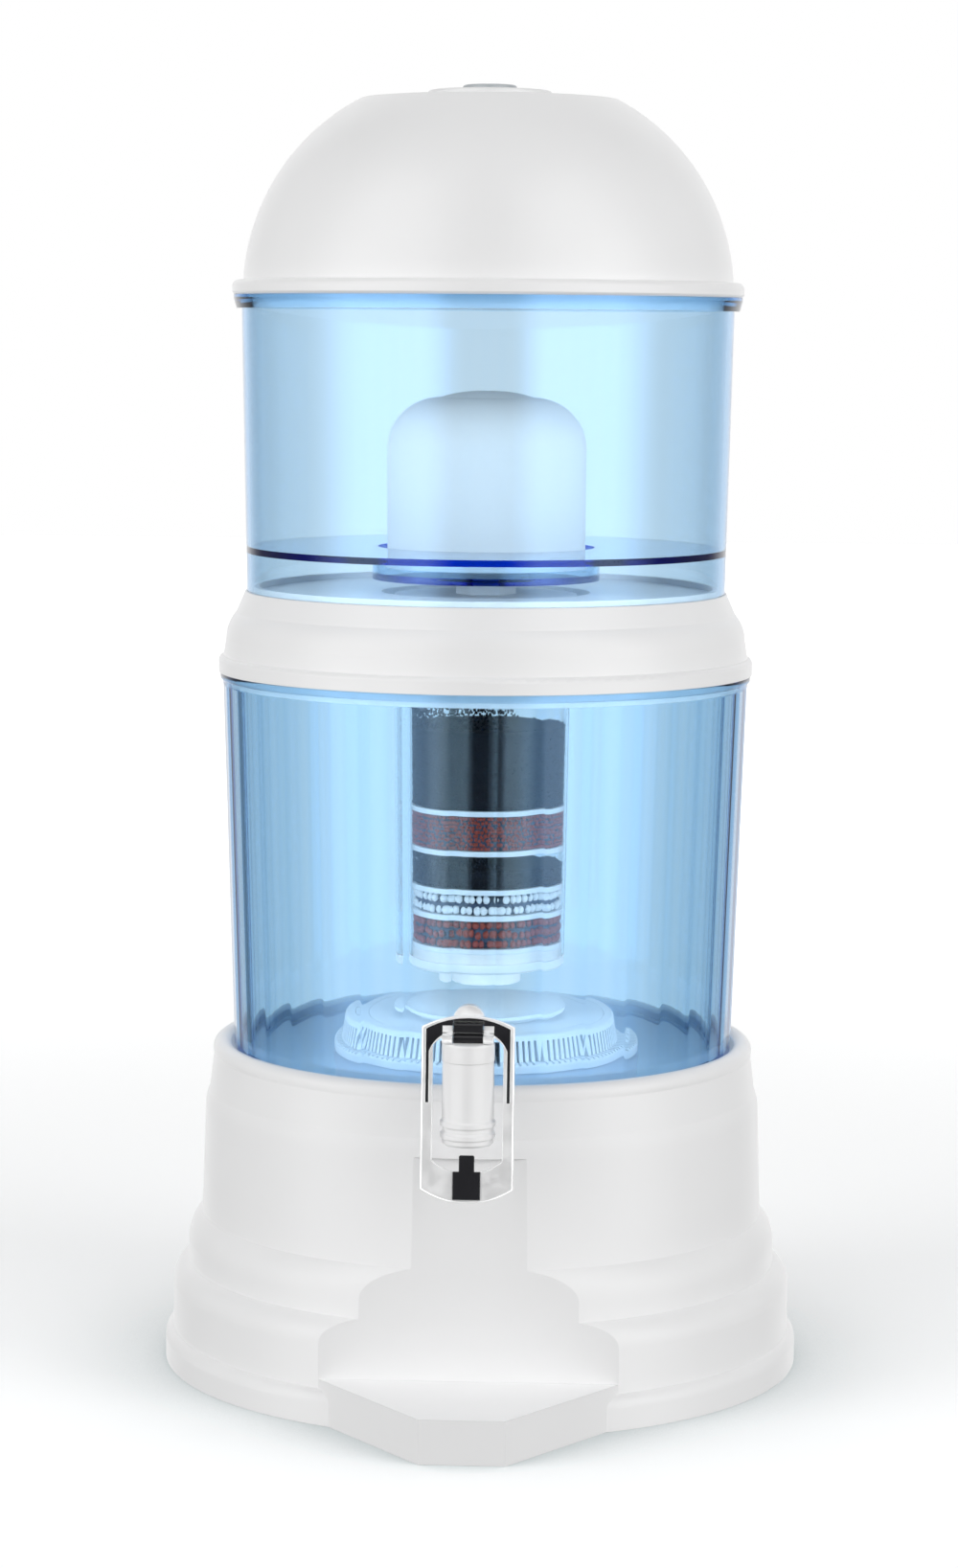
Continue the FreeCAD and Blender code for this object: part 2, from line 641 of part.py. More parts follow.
def lid_circle():
    """Centre and radius of the lid's dome profile, upright where it springs."""
    run = LID_BODY_RADIUS - LID_TOP_RADIUS
    spring_z = UPPER_TOP_Z + LID_SPRING_RISE
    rise = LID_TOP_Z - spring_z
    radius = (run * run + rise * rise) / (2 * run)
    return LID_BODY_RADIUS - radius, spring_z, radius


def lid_surface(inset, z):
    """Radius of the lid's dome at a height, drawn in by a wall thickness."""
    centre_r, centre_z, radius = lid_circle()
    return centre_r + math.sqrt((radius - inset) ** 2 - (z - centre_z) ** 2)


def lid_middle(inset, low_z, high_z):
    """Point of the lid's dome profile between two heights."""
    z = (low_z + high_z) / 2
    return (lid_surface(inset, z), z)


def lid_dome():
    """Domed lid with a rolled flange, a locating lip and a hole for the knob's boss."""
    z0, z1 = UPPER_TOP_Z, LID_TOP_Z
    flange_z = z0 + LID_FLANGE_HEIGHT
    locator = upper_wall_radius(UPPER_TOP_Z) - UPPER_TANK_WALL - LOCATOR_CLEARANCE
    hole = KNOB_BOSS_RADIUS + BOSS_CLEARANCE
    wall = LID_WALL
    inner_low = z0 + 2 * wall
    inner_high = z1 - wall
    return revolved([
        (locator, z0),
        (LID_FLANGE_RADIUS - wall / 2, z0),
        (LID_FLANGE_RADIUS, z0 + wall / 2),
        (LID_FLANGE_RADIUS, flange_z - wall),
        arc_to(LID_FLANGE_RADIUS, flange_z - wall, lid_surface(0, flange_z), flange_z),
        (lid_middle(0, flange_z, z1), (lid_surface(0, z1), z1)),
        (hole, z1),
        (hole, inner_high),
        (lid_surface(wall, inner_high), inner_high),
        (lid_middle(wall, inner_low, inner_high), (lid_surface(wall, inner_low), inner_low)),
        (locator - wall, z0 + wall),
        (locator - wall, z0 - LID_LOCATOR_DROP),
        (locator, z0 - LID_LOCATOR_DROP),
    ])


def lid_knob():
    """Low round knob with a boss in the lid's hole and a recess for its insert."""
    z0, z1 = LID_TOP_Z, KNOB_TOP_Z
    low = z0 - LID_WALL
    bore = KNOB_SCREW_RADIUS + THREAD_CLEARANCE
    top = z1 - INSERT_SUNK
    bore_top = low - KNOB_WASHER_THICKNESS + KNOB_SCREW_LENGTH + KNOB_SCREW_END_GAP
    return revolved([
        (bore, low),
        (KNOB_BOSS_RADIUS, low),
        (KNOB_BOSS_RADIUS, z0),
        (KNOB_RADIUS - KNOB_EDGE, z0),
        (KNOB_RADIUS, z0 + KNOB_EDGE / 2),
        (KNOB_RADIUS, z1 - KNOB_EDGE),
        arc_to(KNOB_RADIUS, z1 - KNOB_EDGE, KNOB_RADIUS - KNOB_EDGE, z1),
        (INSERT_RADIUS, z1),
        (INSERT_RADIUS, top),
        (0, top),
        (0, bore_top),
        (bore, bore_top),
    ])


def knob_insert():
    """Grey button pressed into the knob's recess."""
    z0, z1 = KNOB_TOP_Z - INSERT_SUNK, KNOB_TOP_Z + INSERT_PROUD
    edge = INSERT_PROUD / 2
    return revolved([
        (0, z0),
        (INSERT_RADIUS, z0),
        (INSERT_RADIUS, z1 - edge),
        arc_to(INSERT_RADIUS, z1 - edge, INSERT_RADIUS - edge, z1),
        (0, z1),
    ])


def knob_screw():
    """Slotted screw that clamps the knob to the lid from inside, over its washer."""
    low = LID_TOP_Z - LID_WALL - KNOB_WASHER_THICKNESS
    shaft = cylinder(KNOB_SCREW_RADIUS, low, low + KNOB_SCREW_LENGTH)
    head = cylinder(KNOB_SCREW_HEAD_RADIUS, low - KNOB_SCREW_HEAD_HEIGHT, low)
    slot = block(
        (-KNOB_SCREW_HEAD_RADIUS, -SCREW_SLOT_WIDTH / 2, low - KNOB_SCREW_HEAD_HEIGHT),
        (KNOB_SCREW_HEAD_RADIUS, SCREW_SLOT_WIDTH / 2, low - KNOB_SCREW_HEAD_HEIGHT + SCREW_SLOT_DEPTH),
    )
    return head.fuse(shaft).cut(slot)


def knob_washer():
    """Wide washer under the lid that the knob's screw clamps."""
    top = LID_TOP_Z - LID_WALL
    return ring(KNOB_WASHER_RADIUS, KNOB_SCREW_RADIUS + THREAD_CLEARANCE, top - KNOB_WASHER_THICKNESS, top)


def dome_outline(radius, low_z, height, shoulder, crown):
    """Outline of a dome: an upright side, a round shoulder and a low crown."""
    top_z = low_z + height
    side_z = top_z - crown - shoulder
    turn = shoulder * (1 - math.sin(math.pi / 4))
    return [
        (0, low_z),
        (radius, low_z),
        (radius, side_z),
        ((radius - turn, side_z + shoulder - turn), (radius - shoulder, top_z - crown)),
        (((radius - shoulder + CERAMIC_FLAT_RADIUS) / 2, top_z - crown / 4), (CERAMIC_FLAT_RADIUS, top_z)),
        (0, top_z),
    ]


def ceramic_dome():
    """Hollow ceramic candle with a wide round shoulder."""
    low = CERAMIC_PLATE_Z + CERAMIC_PLATE_THICKNESS
    wall = CERAMIC_WALL
    outer = revolved(dome_outline(CERAMIC_RADIUS, low, CERAMIC_HEIGHT, CERAMIC_SHOULDER, CERAMIC_CROWN))
    inner = revolved(dome_outline(
        CERAMIC_RADIUS - wall, low, CERAMIC_HEIGHT - wall, CERAMIC_SHOULDER - wall, CERAMIC_CROWN
    ))
    return outer.cut(inner)


def ceramic_plate():
    """Plastic base of the ceramic candle with its hollow threaded stem."""
    z0 = CERAMIC_PLATE_Z
    plate = cylinder(CERAMIC_PLATE_RADIUS, z0, z0 + CERAMIC_PLATE_THICKNESS)
    stem = cylinder(CERAMIC_STEM_RADIUS, z0 - CERAMIC_STEM_LENGTH, z0)
    bore = cylinder(CERAMIC_STEM_BORE, z0 - CERAMIC_STEM_LENGTH, z0 + CERAMIC_PLATE_THICKNESS)
    return plate.fuse(stem).cut(bore)


def ring(outer, inner, low_z, high_z):
    """Flat ring between two heights."""
    return cylinder(outer, low_z, high_z).cut(cylinder(inner, low_z, high_z))


def filter_nut():
    """Flanged nut that clamps the ceramic filter to the upper tank's floor."""
    z1 = FILTER_NUT_TOP_Z
    z0 = z1 - FILTER_NUT_FLANGE_HEIGHT
    flange = cylinder(FILTER_NUT_FLANGE_RADIUS, z0, z1)
    body = hexagon(FILTER_NUT_FLATS, Vector(0, 0, z0 - FILTER_NUT_HEIGHT), Vector(0, 0, z0), UP)
    bore = cylinder(CERAMIC_STEM_RADIUS + THREAD_CLEARANCE, z0 - FILTER_NUT_HEIGHT, z1)
    return flange.fuse(body).cut(bore)


def shell_radius(z):
    """Outer radius of the tapered cartridge shell at a height."""
    share = (z - SHELL_BOTTOM_Z) / (SHELL_TOP_Z - SHELL_BOTTOM_Z)
    return CARTRIDGE_BOTTOM_RADIUS + share * (CARTRIDGE_TOP_RADIUS - CARTRIDGE_BOTTOM_RADIUS)


def cartridge_cap():
    """Screw cap of the cartridge with a socket for the ceramic filter's stem."""
    z1 = CAP_TOP_Z
    inner = CARTRIDGE_TOP_RADIUS + PACKING_CLEARANCE
    boss_z = z1 - CARTRIDGE_BOSS_HEIGHT
    cup = ring(inner + CARTRIDGE_CAP_WALL, inner, z1 - CARTRIDGE_CAP_HEIGHT, z1)
    top = cylinder(inner + CARTRIDGE_CAP_WALL, z1 - CARTRIDGE_CAP_WALL, z1)
    boss = cylinder(CARTRIDGE_BOSS_RADIUS, boss_z, z1)
    bore = cylinder(CERAMIC_STEM_RADIUS + THREAD_CLEARANCE, boss_z, z1)
    return cup.fuse(top).fuse(boss).cut(bore)


def cartridge_shell():
    """Clear tapered tube of the cartridge."""
    wall = CARTRIDGE_WALL
    return revolved([
        (shell_radius(SHELL_BOTTOM_Z) - wall, SHELL_BOTTOM_Z),
        (shell_radius(SHELL_BOTTOM_Z), SHELL_BOTTOM_Z),
        (shell_radius(SHELL_TOP_Z), SHELL_TOP_Z),
        (shell_radius(SHELL_TOP_Z) - wall, SHELL_TOP_Z),
    ])


def packing(low_z, high_z, bore=0.0):
    """Tapered disc that fills the cartridge shell between two heights."""
    gap = CARTRIDGE_WALL + PACKING_CLEARANCE
    return revolved([
        (bore, low_z),
        (shell_radius(low_z) - gap, low_z),
        (shell_radius(high_z) - gap, high_z),
        (bore, high_z),
    ])


def separator(low_z, bore):
    """Perforated disc between two layers of the cartridge."""
    high_z = low_z + SEPARATOR_THICKNESS
    holes = []
    for ring_number in range(SEPARATOR_HOLE_RINGS):
        ring_radius = CARTRIDGE_BOSS_RADIUS + SEPARATOR_HOLE_RADIUS * 2 + ring_number * SEPARATOR_HOLE_STEP
        count = int(2 * math.pi * ring_radius / SEPARATOR_HOLE_STEP)
        for step in range(count):
            angle = 2 * math.pi * step / count
            holes.append(cylinder(
                SEPARATOR_HOLE_RADIUS, low_z, high_z,
                ring_radius * math.cos(angle), ring_radius * math.sin(angle),
            ))
    return packing(low_z, high_z, bore).cut(Part.makeCompound(holes))


def cartridge_layers():
    """Beds of the cartridge and the perforated discs between them, from the top down."""
    pieces = {}
    boss_bottom = CAP_TOP_Z - CARTRIDGE_BOSS_HEIGHT
    bore = CARTRIDGE_BOSS_RADIUS + PACKING_CLEARANCE
    z = SHELL_TOP_Z
    number = 1
    for name, height in LAYER_HEIGHTS:
        z -= SEPARATOR_THICKNESS
        through = bore if z + SEPARATOR_THICKNESS > boss_bottom else 0.0
        pieces["cartridge_separator_%d" % number] = separator(z, through)
        number += 1
        z -= height
        bed = packing(z, z + height)
        if z + height > boss_bottom:
            bed = bed.cut(cylinder(bore, boss_bottom - PACKING_CLEARANCE, z + height))
        pieces[name] = bed
    z -= SEPARATOR_THICKNESS
    pieces["cartridge_separator_%d" % number] = separator(z, 0.0)
    return pieces


def cartridge_outlet():
    """Bottom cap of the cartridge with its outlet nozzle."""
    z1 = OUTLET_TOP_Z
    z0 = z1 - OUTLET_HEIGHT
    gap = CARTRIDGE_WALL + PACKING_CLEARANCE
    low = z0 - OUTLET_NOZZLE_LENGTH
    floor = z1 - CARTRIDGE_CAP_WALL
    body = revolved([
        (0, floor),
        (OUTLET_BORE_RADIUS, floor),
        (OUTLET_BORE_RADIUS, low),
        (OUTLET_NOZZLE_RADIUS, low),
        (OUTLET_NOZZLE_RADIUS, z0),
        (CARTRIDGE_BOTTOM_RADIUS - OUTLET_EDGE, z0),
        (CARTRIDGE_BOTTOM_RADIUS, z0 + OUTLET_EDGE),
        (CARTRIDGE_BOTTOM_RADIUS, SHELL_BOTTOM_Z),
        (shell_radius(SHELL_BOTTOM_Z) - gap, SHELL_BOTTOM_Z),
        (shell_radius(z1) - gap, z1),
        (0, z1),
    ])
    holes = []
    for step in range(OUTLET_HOLE_COUNT):
        angle = 2 * math.pi * step / OUTLET_HOLE_COUNT
        x = OUTLET_HOLE_REACH * math.cos(angle)
        y = OUTLET_HOLE_REACH * math.sin(angle)
        holes.append(cylinder(OUTLET_HOLE_RADIUS, floor, z1, x, y))
    return body.cut(Part.makeCompound(holes))


def case_wall_radius(z):
    """Outer radius of the mineral case's slotted wall at a height."""
    share = (z - TANK_FLOOR_Z - CASE_FLANGE_HEIGHT) / (CASE_HEIGHT - CASE_FLANGE_HEIGHT)
    return CASE_LOW_RADIUS + share * (CASE_TOP_RADIUS - CASE_LOW_RADIUS)


def mineral_case():
    """Low round basket with slotted walls, open at the top for its lid."""
    z0 = TANK_FLOOR_Z
    z1 = z0 + CASE_HEIGHT
    flange_z = z0 + CASE_FLANGE_HEIGHT
    wall = CASE_WALL
    edge = CASE_EDGE
    body = revolved([
        (0, z0),
        (CASE_FLANGE_RADIUS, z0),
        (CASE_FLANGE_RADIUS, flange_z - edge),
        arc_to(CASE_FLANGE_RADIUS, flange_z - edge, CASE_FLANGE_RADIUS - edge, flange_z),
        (CASE_LOW_RADIUS, flange_z),
        (case_wall_radius(z1 - edge), z1 - edge),
        arc_to(case_wall_radius(z1 - edge), z1 - edge, CASE_TOP_RADIUS - edge, z1),
        (CASE_LID_RADIUS + CASE_LID_CLEARANCE, z1),
        (CASE_LID_RADIUS + CASE_LID_CLEARANCE, z1 - wall),
        (CASE_TOP_RADIUS - wall * 2, z1 - wall),
        (CASE_TOP_RADIUS - wall * 2, z0 + wall),
        (0, z0 + wall),
    ])
    slots = []
    for step in range(CASE_SLOT_COUNT):
        slot = block(
            (CASE_TOP_RADIUS - wall * 3, -CASE_SLOT_WIDTH / 2, z0 + CASE_SLOT_MARGIN + wall / 2),
            (CASE_FLANGE_RADIUS + wall, CASE_SLOT_WIDTH / 2, z1 - CASE_SLOT_MARGIN),
        )
        slot.rotate(Vector(0, 0, 0), UP, 360.0 * (step + 0.5) / CASE_SLOT_COUNT)
        slots.append(slot)
    return body.cut(Part.makeCompound(slots))


def case_lid():
    """Lid of the mineral case with a flat round grip."""
    z1 = TANK_FLOOR_Z + CASE_HEIGHT
    neck_z = z1 + CASE_LID_NECK_HEIGHT
    top = neck_z + CASE_KNOB_HEIGHT
    return revolved([
        (0, z1 - CASE_WALL),
        (CASE_LID_RADIUS, z1 - CASE_WALL),
        (CASE_LID_RADIUS, z1),
        (CASE_LID_NECK_RADIUS, z1),
        (CASE_LID_NECK_RADIUS, neck_z),
        (CASE_KNOB_RADIUS, neck_z),
        (CASE_KNOB_RADIUS, top),
        (0, top),
    ])


def mineral_stones():
    """One layer of round mineral stones inside the case."""
    z = TANK_FLOOR_Z + CASE_WALL + STONE_RADIUS
    stones = [Part.makeSphere(STONE_RADIUS, Vector(0, 0, z))]
    for ring_number in range(1, STONE_RINGS + 1):
        count = 6 * ring_number
        for step in range(count):
            angle = 2 * math.pi * step / count
            reach = STONE_PITCH * ring_number
            stones.append(Part.makeSphere(
                STONE_RADIUS, Vector(reach * math.cos(angle), reach * math.sin(angle), z)
            ))
    return Part.makeCompound(stones)


def on_tap_axis(shape):
    """A shape built about the Z axis moved to the tap barrel's axis."""
    shape.translate(Vector(0, TAP_AXIS_Y, 0))
    return shape


def tap_body():
    """White tap body: barrel with its chamber, seat and spout, and the threaded shank."""
    edge = BARREL_EDGE
    barrel = on_tap_axis(revolved([
        (0, BARREL_BOTTOM_Z),
        (BARREL_RADIUS - edge, BARREL_BOTTOM_Z),
        (BARREL_RADIUS, BARREL_BOTTOM_Z + edge),
        (BARREL_RADIUS, BARREL_TOP_Z),
        (0, BARREL_TOP_Z),
    ]))
    for number in range(2):
        low = RIB_RING_LOW_Z + number * RIB_RING_PITCH
        high = low + RIB_RING_WIDTH
        proud = BARREL_RADIUS + RIB_RING_PROUD
        barrel = barrel.fuse(on_tap_axis(revolved([
            (0, low),
            (BARREL_RADIUS, low),
            (proud, low + RIB_RING_PROUD),
            (proud, high - RIB_RING_PROUD),
            (BARREL_RADIUS, high),
            (0, high),
        ])))
    flange_y = WALL_PAD_FRONT_Y - FRONT_WASHER_THICKNESS - TAP_FLANGE_THICKNESS
    shank_end = (
        WALL_PAD_INNER_Y + INNER_WASHER_THICKNESS + LOCK_NUT_THICKNESS + SHANK_INNER_REACH
    )
    neck = bar(SHANK_NECK_RADIUS, TAP_AXIS_Y, flange_y, TAP_SHANK_Z)
    flange = bar(TAP_FLANGE_RADIUS, flange_y, flange_y + TAP_FLANGE_THICKNESS, TAP_SHANK_Z)
    shank = bar(SHANK_RADIUS, flange_y, shank_end, TAP_SHANK_Z)
    body = barrel.fuse([neck, flange, shank])
    seat = SPOUT_RADIUS + SEAT_RING_WIDTH
    chamber = on_tap_axis(revolved([
        (0, CHAMBER_FLOOR_Z),
        (CHAMBER_RADIUS, CHAMBER_FLOOR_Z),
        (CHAMBER_RADIUS, SPRING_TOP_Z),
        (COUNTERBORE_RADIUS, SPRING_TOP_Z),
        (COUNTERBORE_RADIUS, BARREL_TOP_Z),
        (0, BARREL_TOP_Z),
    ]))
    seat_ring = on_tap_axis(ring(seat, SPOUT_RADIUS, CHAMBER_FLOOR_Z, SEAT_Z))
    spout = on_tap_axis(cylinder(SPOUT_RADIUS, BARREL_BOTTOM_Z, CHAMBER_FLOOR_Z))
    water_way = bar(SHANK_BORE_RADIUS, TAP_AXIS_Y, shank_end, TAP_SHANK_Z)
    return body.cut(chamber.cut(seat_ring)).cut(spout).cut(water_way)


def tap_washer(front_y, thickness):
    """Flat round washer on the shank."""
    outer = bar(WASHER_RADIUS, front_y, front_y + thickness, TAP_SHANK_Z)
    return outer.cut(bar(SHANK_RADIUS + THREAD_CLEARANCE, front_y, front_y + thickness, TAP_SHANK_Z))


def lock_nut():
    """Hexagonal nut that clamps the tap from inside the tank."""
    y0 = WALL_PAD_INNER_Y + INNER_WASHER_THICKNESS
    y1 = y0 + LOCK_NUT_THICKNESS
    low = Vector(0, y0, TAP_SHANK_Z)
    high = Vector(0, y1, TAP_SHANK_Z)
    nut = hexagon(LOCK_NUT_FLATS, low, high, Vector(0, 1, 0))
    return nut.cut(bar(SHANK_RADIUS + THREAD_CLEARANCE, y0, y1, TAP_SHANK_Z))


def tap_bonnet():
    """White cap screwed into the barrel, with the hole that guides the stem."""
    edge = BONNET_EDGE
    z0, z1 = BARREL_TOP_Z, BONNET_TOP_Z
    plug = COUNTERBORE_RADIUS - THREAD_CLEARANCE
    bore = STEM_RADIUS + STEM_RUNNING_CLEARANCE
    return on_tap_axis(revolved([
        (bore, SPRING_TOP_Z),
        (plug, SPRING_TOP_Z),
        (plug, z0),
        (BONNET_RADIUS, z0),
        (BONNET_RADIUS, z1 - edge),
        arc_to(BONNET_RADIUS, z1 - edge, BONNET_RADIUS - edge, z1),
        (bore, z1),
    ]))


def stem_outline(bottom_z):
    """Outline of the stem's foot, shaft and collar above a height."""
    foot_top = bottom_z + STEM_FOOT_HEIGHT
    return [
        (0, bottom_z),
        (STEM_FOOT_RADIUS, bottom_z),
        (STEM_FOOT_RADIUS, foot_top),
        (STEM_RADIUS, foot_top),
        (STEM_RADIUS, STEM_COLLAR_Z),
    ]


def tap_stem():
    """Stem from the seat cup to the head, with a collar under the spring."""
    top = PIVOT_Z - PIVOT_RADIUS - PIVOT_CLEARANCE
    return on_tap_axis(revolved(stem_outline(SEAT_Z + SEAT_CUP_FLOOR) + [
        (STEM_COLLAR_RADIUS, STEM_COLLAR_Z),
        (STEM_COLLAR_RADIUS, SPRING_BOTTOM_Z),
        (STEM_RADIUS, SPRING_BOTTOM_Z),
        (STEM_RADIUS, top),
        (0, top),
    ]))


def seat_cup():
    """Silicone cup on the stem's foot that closes the spout."""
    cup = on_tap_axis(cylinder(SEAT_CUP_RADIUS, SEAT_Z, STEM_COLLAR_Z))
    return cup.cut(on_tap_axis(revolved(stem_outline(SEAT_Z + SEAT_CUP_FLOOR) + [(0, STEM_COLLAR_Z)])))


def helix_point(angle, low_z, pitch):
    """Point and unit tangent of the spring's centre line."""
    point = Vector(
        SPRING_RADIUS * math.cos(angle),
        SPRING_RADIUS * math.sin(angle),
        low_z + pitch * angle / (2 * math.pi),
    )
    tangent = Vector(
        -SPRING_RADIUS * math.sin(angle), SPRING_RADIUS * math.cos(angle), pitch / (2 * math.pi)
    )
    return point, tangent.normalize()


def tangent_arc(start, direction, reach, end):
    """Arc from a start with a direction to an end, whose two tangents meet a reach away."""
    corner = start + direction * reach
    middle = (start + end) * 0.5
    chord = end - start
    angle = direction.getAngle(chord)
    lift = math.tan(angle / 2) / math.tan(angle)
    return Part.Arc(start, middle + (corner - middle) * lift, end).toShape()


def tap_spring():
    """Coil spring between the stem's collar and the bonnet, one unbroken wire."""
    low_z = SPRING_BOTTOM_Z + SPRING_WIRE_RADIUS + SPRING_END_GAP
    high_z = SPRING_TOP_Z - SPRING_WIRE_RADIUS - SPRING_END_GAP
    pitch = (high_z - low_z) / SPRING_TURNS
    edges = []
    for quarter in range(4 * SPRING_TURNS):
        start, leave = helix_point(quarter * math.pi / 2, low_z, pitch)
        end, arrive = helix_point((quarter + 1) * math.pi / 2, low_z, pitch)
        span = end - start
        total = leave + arrive
        twice = 2 * (1 - leave.dot(arrive))
        along = span.dot(total)
        reach = (-along + math.sqrt(along * along + twice * span.dot(span))) / twice
        joint = (start + end + (leave - arrive) * reach) * 0.5
        edges.append(tangent_arc(start, leave, reach, joint))
        edges.append(tangent_arc(end, arrive * -1, reach, joint))
    path = Part.Wire(Part.__sortEdges__(edges))
    start, leave = helix_point(0, low_z, pitch)
    section = Part.Wire([Part.Circle(start, leave, SPRING_WIRE_RADIUS).toShape()])
    print("spring: least gap between turns %.2f mm" % (pitch - 2 * SPRING_WIRE_RADIUS))
    return on_tap_axis(path.makePipeShell([section], True, False))


def at_pivot(shape):
    """A shape built about the lever's pivot moved to it."""
    shape.translate(Vector(0, TAP_AXIS_Y, PIVOT_Z))
    return shape


def tilted(shape):
    """A lever shape leaned forward by the lever's rest angle, then moved to its pivot."""
    shape.rotate(Vector(0, 0, 0), Vector(1, 0, 0), -LEVER_TILT_DEG)
    return at_pivot(shape)


def pin_bar(radius, half_width):
    """Cylinder along X through the pivot."""
    return Part.makeCylinder(radius, 2 * half_width, Vector(-half_width, 0, 0), Vector(1, 0, 0))


def tap_head():
    """Black head on the stem: carries the pivot pin and shows it through a groove."""
    low = -PIVOT_RISE + HEAD_LIFT_GAP
    front = HEAD_FRONT
    half = HEAD_HALF_WIDTH
    groove_top = HEAD_GROOVE / 2
    profile = [
        (-front - HEAD_LEDGE, low),
        (HEAD_BACK, low),
        (HEAD_BACK, HEAD_TOP),
        (-front + HEAD_EDGE, HEAD_TOP),
        (-front, HEAD_TOP - HEAD_EDGE),
        (-front, groove_top),
        (-PIVOT_RADIUS / 2, groove_top),
        (-PIVOT_RADIUS / 2, -groove_top),
        (-front, -groove_top),
        (-front - HEAD_LEDGE, -groove_top - HEAD_LEDGE),
    ]
    points = [Vector(-half, y, z) for y, z in profile]
    points.append(points[0])
    body = Part.Face(Part.makePolygon(points)).extrude(Vector(2 * half, 0, 0))
    stem_hole = cylinder(STEM_RADIUS, low, -PIVOT_RADIUS - PIVOT_CLEARANCE)
    pin_hole = pin_bar(PIVOT_RADIUS, half)
    return at_pivot(body.cut(stem_hole).cut(pin_hole))


def head_cap():
    """Half-round chrome cap on the back of the head, seen above the lever's arch."""
    y0, y1 = HEAD_BACK, HEAD_BACK + CROWN_DEPTH
    disc = bar(CROWN_RADIUS, y0, y1, CROWN_RISE)
    keep = block((-CROWN_RADIUS, y0, -PIVOT_RISE / 2), (CROWN_RADIUS, y1, CROWN_RISE + CROWN_RADIUS))
    return at_pivot(disc.common(keep))


def pivot_pin():
    """Steel pin on which the lever turns."""
    return at_pivot(pin_bar(PIVOT_RADIUS, HEAD_HALF_WIDTH + WINDOW_CLEARANCE + CHEEK_WIDTH))


def pin_room():
    """Running fit around the pivot pin."""
    return at_pivot(pin_bar(PIVOT_RADIUS + PIVOT_CLEARANCE, LEVER_HALF_WIDTH))


def extruded(points, front_y, depth):
    """Outline in the XZ plane extruded along Y from a front depth."""
    face = outline_face(points)
    face.translate(Vector(0, front_y, 0))
    return face.extrude(Vector(0, depth, 0))


def lever_frame(inset):
    """Outer oblong of the lever, drawn in by an inset."""
    half = LEVER_HALF_WIDTH - inset
    top = LEVER_TOP - LEVER_TOP_SAG
    bottom = LEVER_BOTTOM + LEVER_BOTTOM_SAG
    return [
        (-half, top),
        (-half, bottom),
        ((0, LEVER_BOTTOM + inset), (half, bottom)),
        (half, top),
        ((0, LEVER_TOP - inset), (-half, top)),
    ]


def window_space():
    """Slot in the lever's arch in which the head sits."""
    half = HEAD_HALF_WIDTH + WINDOW_CLEARANCE
    return block((-half, -LEVER_DEPTH, OPENING_TOP - OPENING_TOP_SAG), (half, LEVER_DEPTH, WINDOW_TOP))


def lever_opening():
    """Through opening between the lever's legs."""
    half = LEVER_HALF_WIDTH - LEVER_LEG_WIDTH
    top = OPENING_TOP - OPENING_TOP_SAG
    bottom = OPENING_BOTTOM + OPENING_BOTTOM_SAG
    return extruded(
        [
            (-half, top),
            (-half, bottom),
            ((0, OPENING_BOTTOM), (half, bottom)),
            (half, top),
            ((0, OPENING_TOP), (-half, top)),
        ],
        -LEVER_DEPTH,
        2 * LEVER_DEPTH,
    )


def inlay_shape():
    """Black arch with two thin lines down the legs, open where the head sits."""
    outer = LEVER_HALF_WIDTH - INLAY_MARGIN
    inner = outer - INLAY_LINE_WIDTH
    window = HEAD_HALF_WIDTH + WINDOW_CLEARANCE
    top = LEVER_TOP - LEVER_TOP_SAG
    crook = ((inner + window) / 2 + INLAY_LINE_WIDTH, (INLAY_CROOK_Z + INLAY_BAND_Z) / 2 + INLAY_LINE_WIDTH)
    points = [
        (-outer, INLAY_LEG_REACH),
        (-inner, INLAY_LEG_REACH),
        (-inner, INLAY_CROOK_Z),
        ((-crook[0], crook[1]), (-window, INLAY_BAND_Z)),
        (-window, WINDOW_TOP),
        (window, WINDOW_TOP),
        (window, INLAY_BAND_Z),
        (crook, (inner, INLAY_CROOK_Z)),
        (inner, INLAY_LEG_REACH),
        (outer, INLAY_LEG_REACH),
        (outer, top - INLAY_MARGIN / 2),
        ((0, LEVER_TOP - INLAY_LINE_WIDTH), (-outer, top - INLAY_MARGIN / 2)),
    ]
    return extruded(points, -LEVER_DEPTH / 2, INLAY_DEPTH)


def pad_shape():
    """Black push pad with a narrow tip that stands above the lever's plate."""
    low = LEVER_BOTTOM + LEVER_BOTTOM_SAG / 4
    points = [
        (-PAD_HALF_WIDTH, low),
        (PAD_HALF_WIDTH, low),
        (PAD_HALF_WIDTH, PAD_STEP),
        (PAD_TIP_HALF_WIDTH, PAD_STEP),
        (PAD_TIP_HALF_WIDTH, PAD_TIP_TOP - PAD_PROUD),
        (PAD_TIP_HALF_WIDTH - PAD_PROUD, PAD_TIP_TOP),
        (-PAD_TIP_HALF_WIDTH + PAD_PROUD, PAD_TIP_TOP),
        (-PAD_TIP_HALF_WIDTH, PAD_TIP_TOP - PAD_PROUD),
        (-PAD_TIP_HALF_WIDTH, PAD_STEP),
        (-PAD_HALF_WIDTH, PAD_STEP),
    ]
    return extruded(points, -LEVER_DEPTH / 2 - PAD_PROUD, PAD_SUNK + PAD_PROUD)


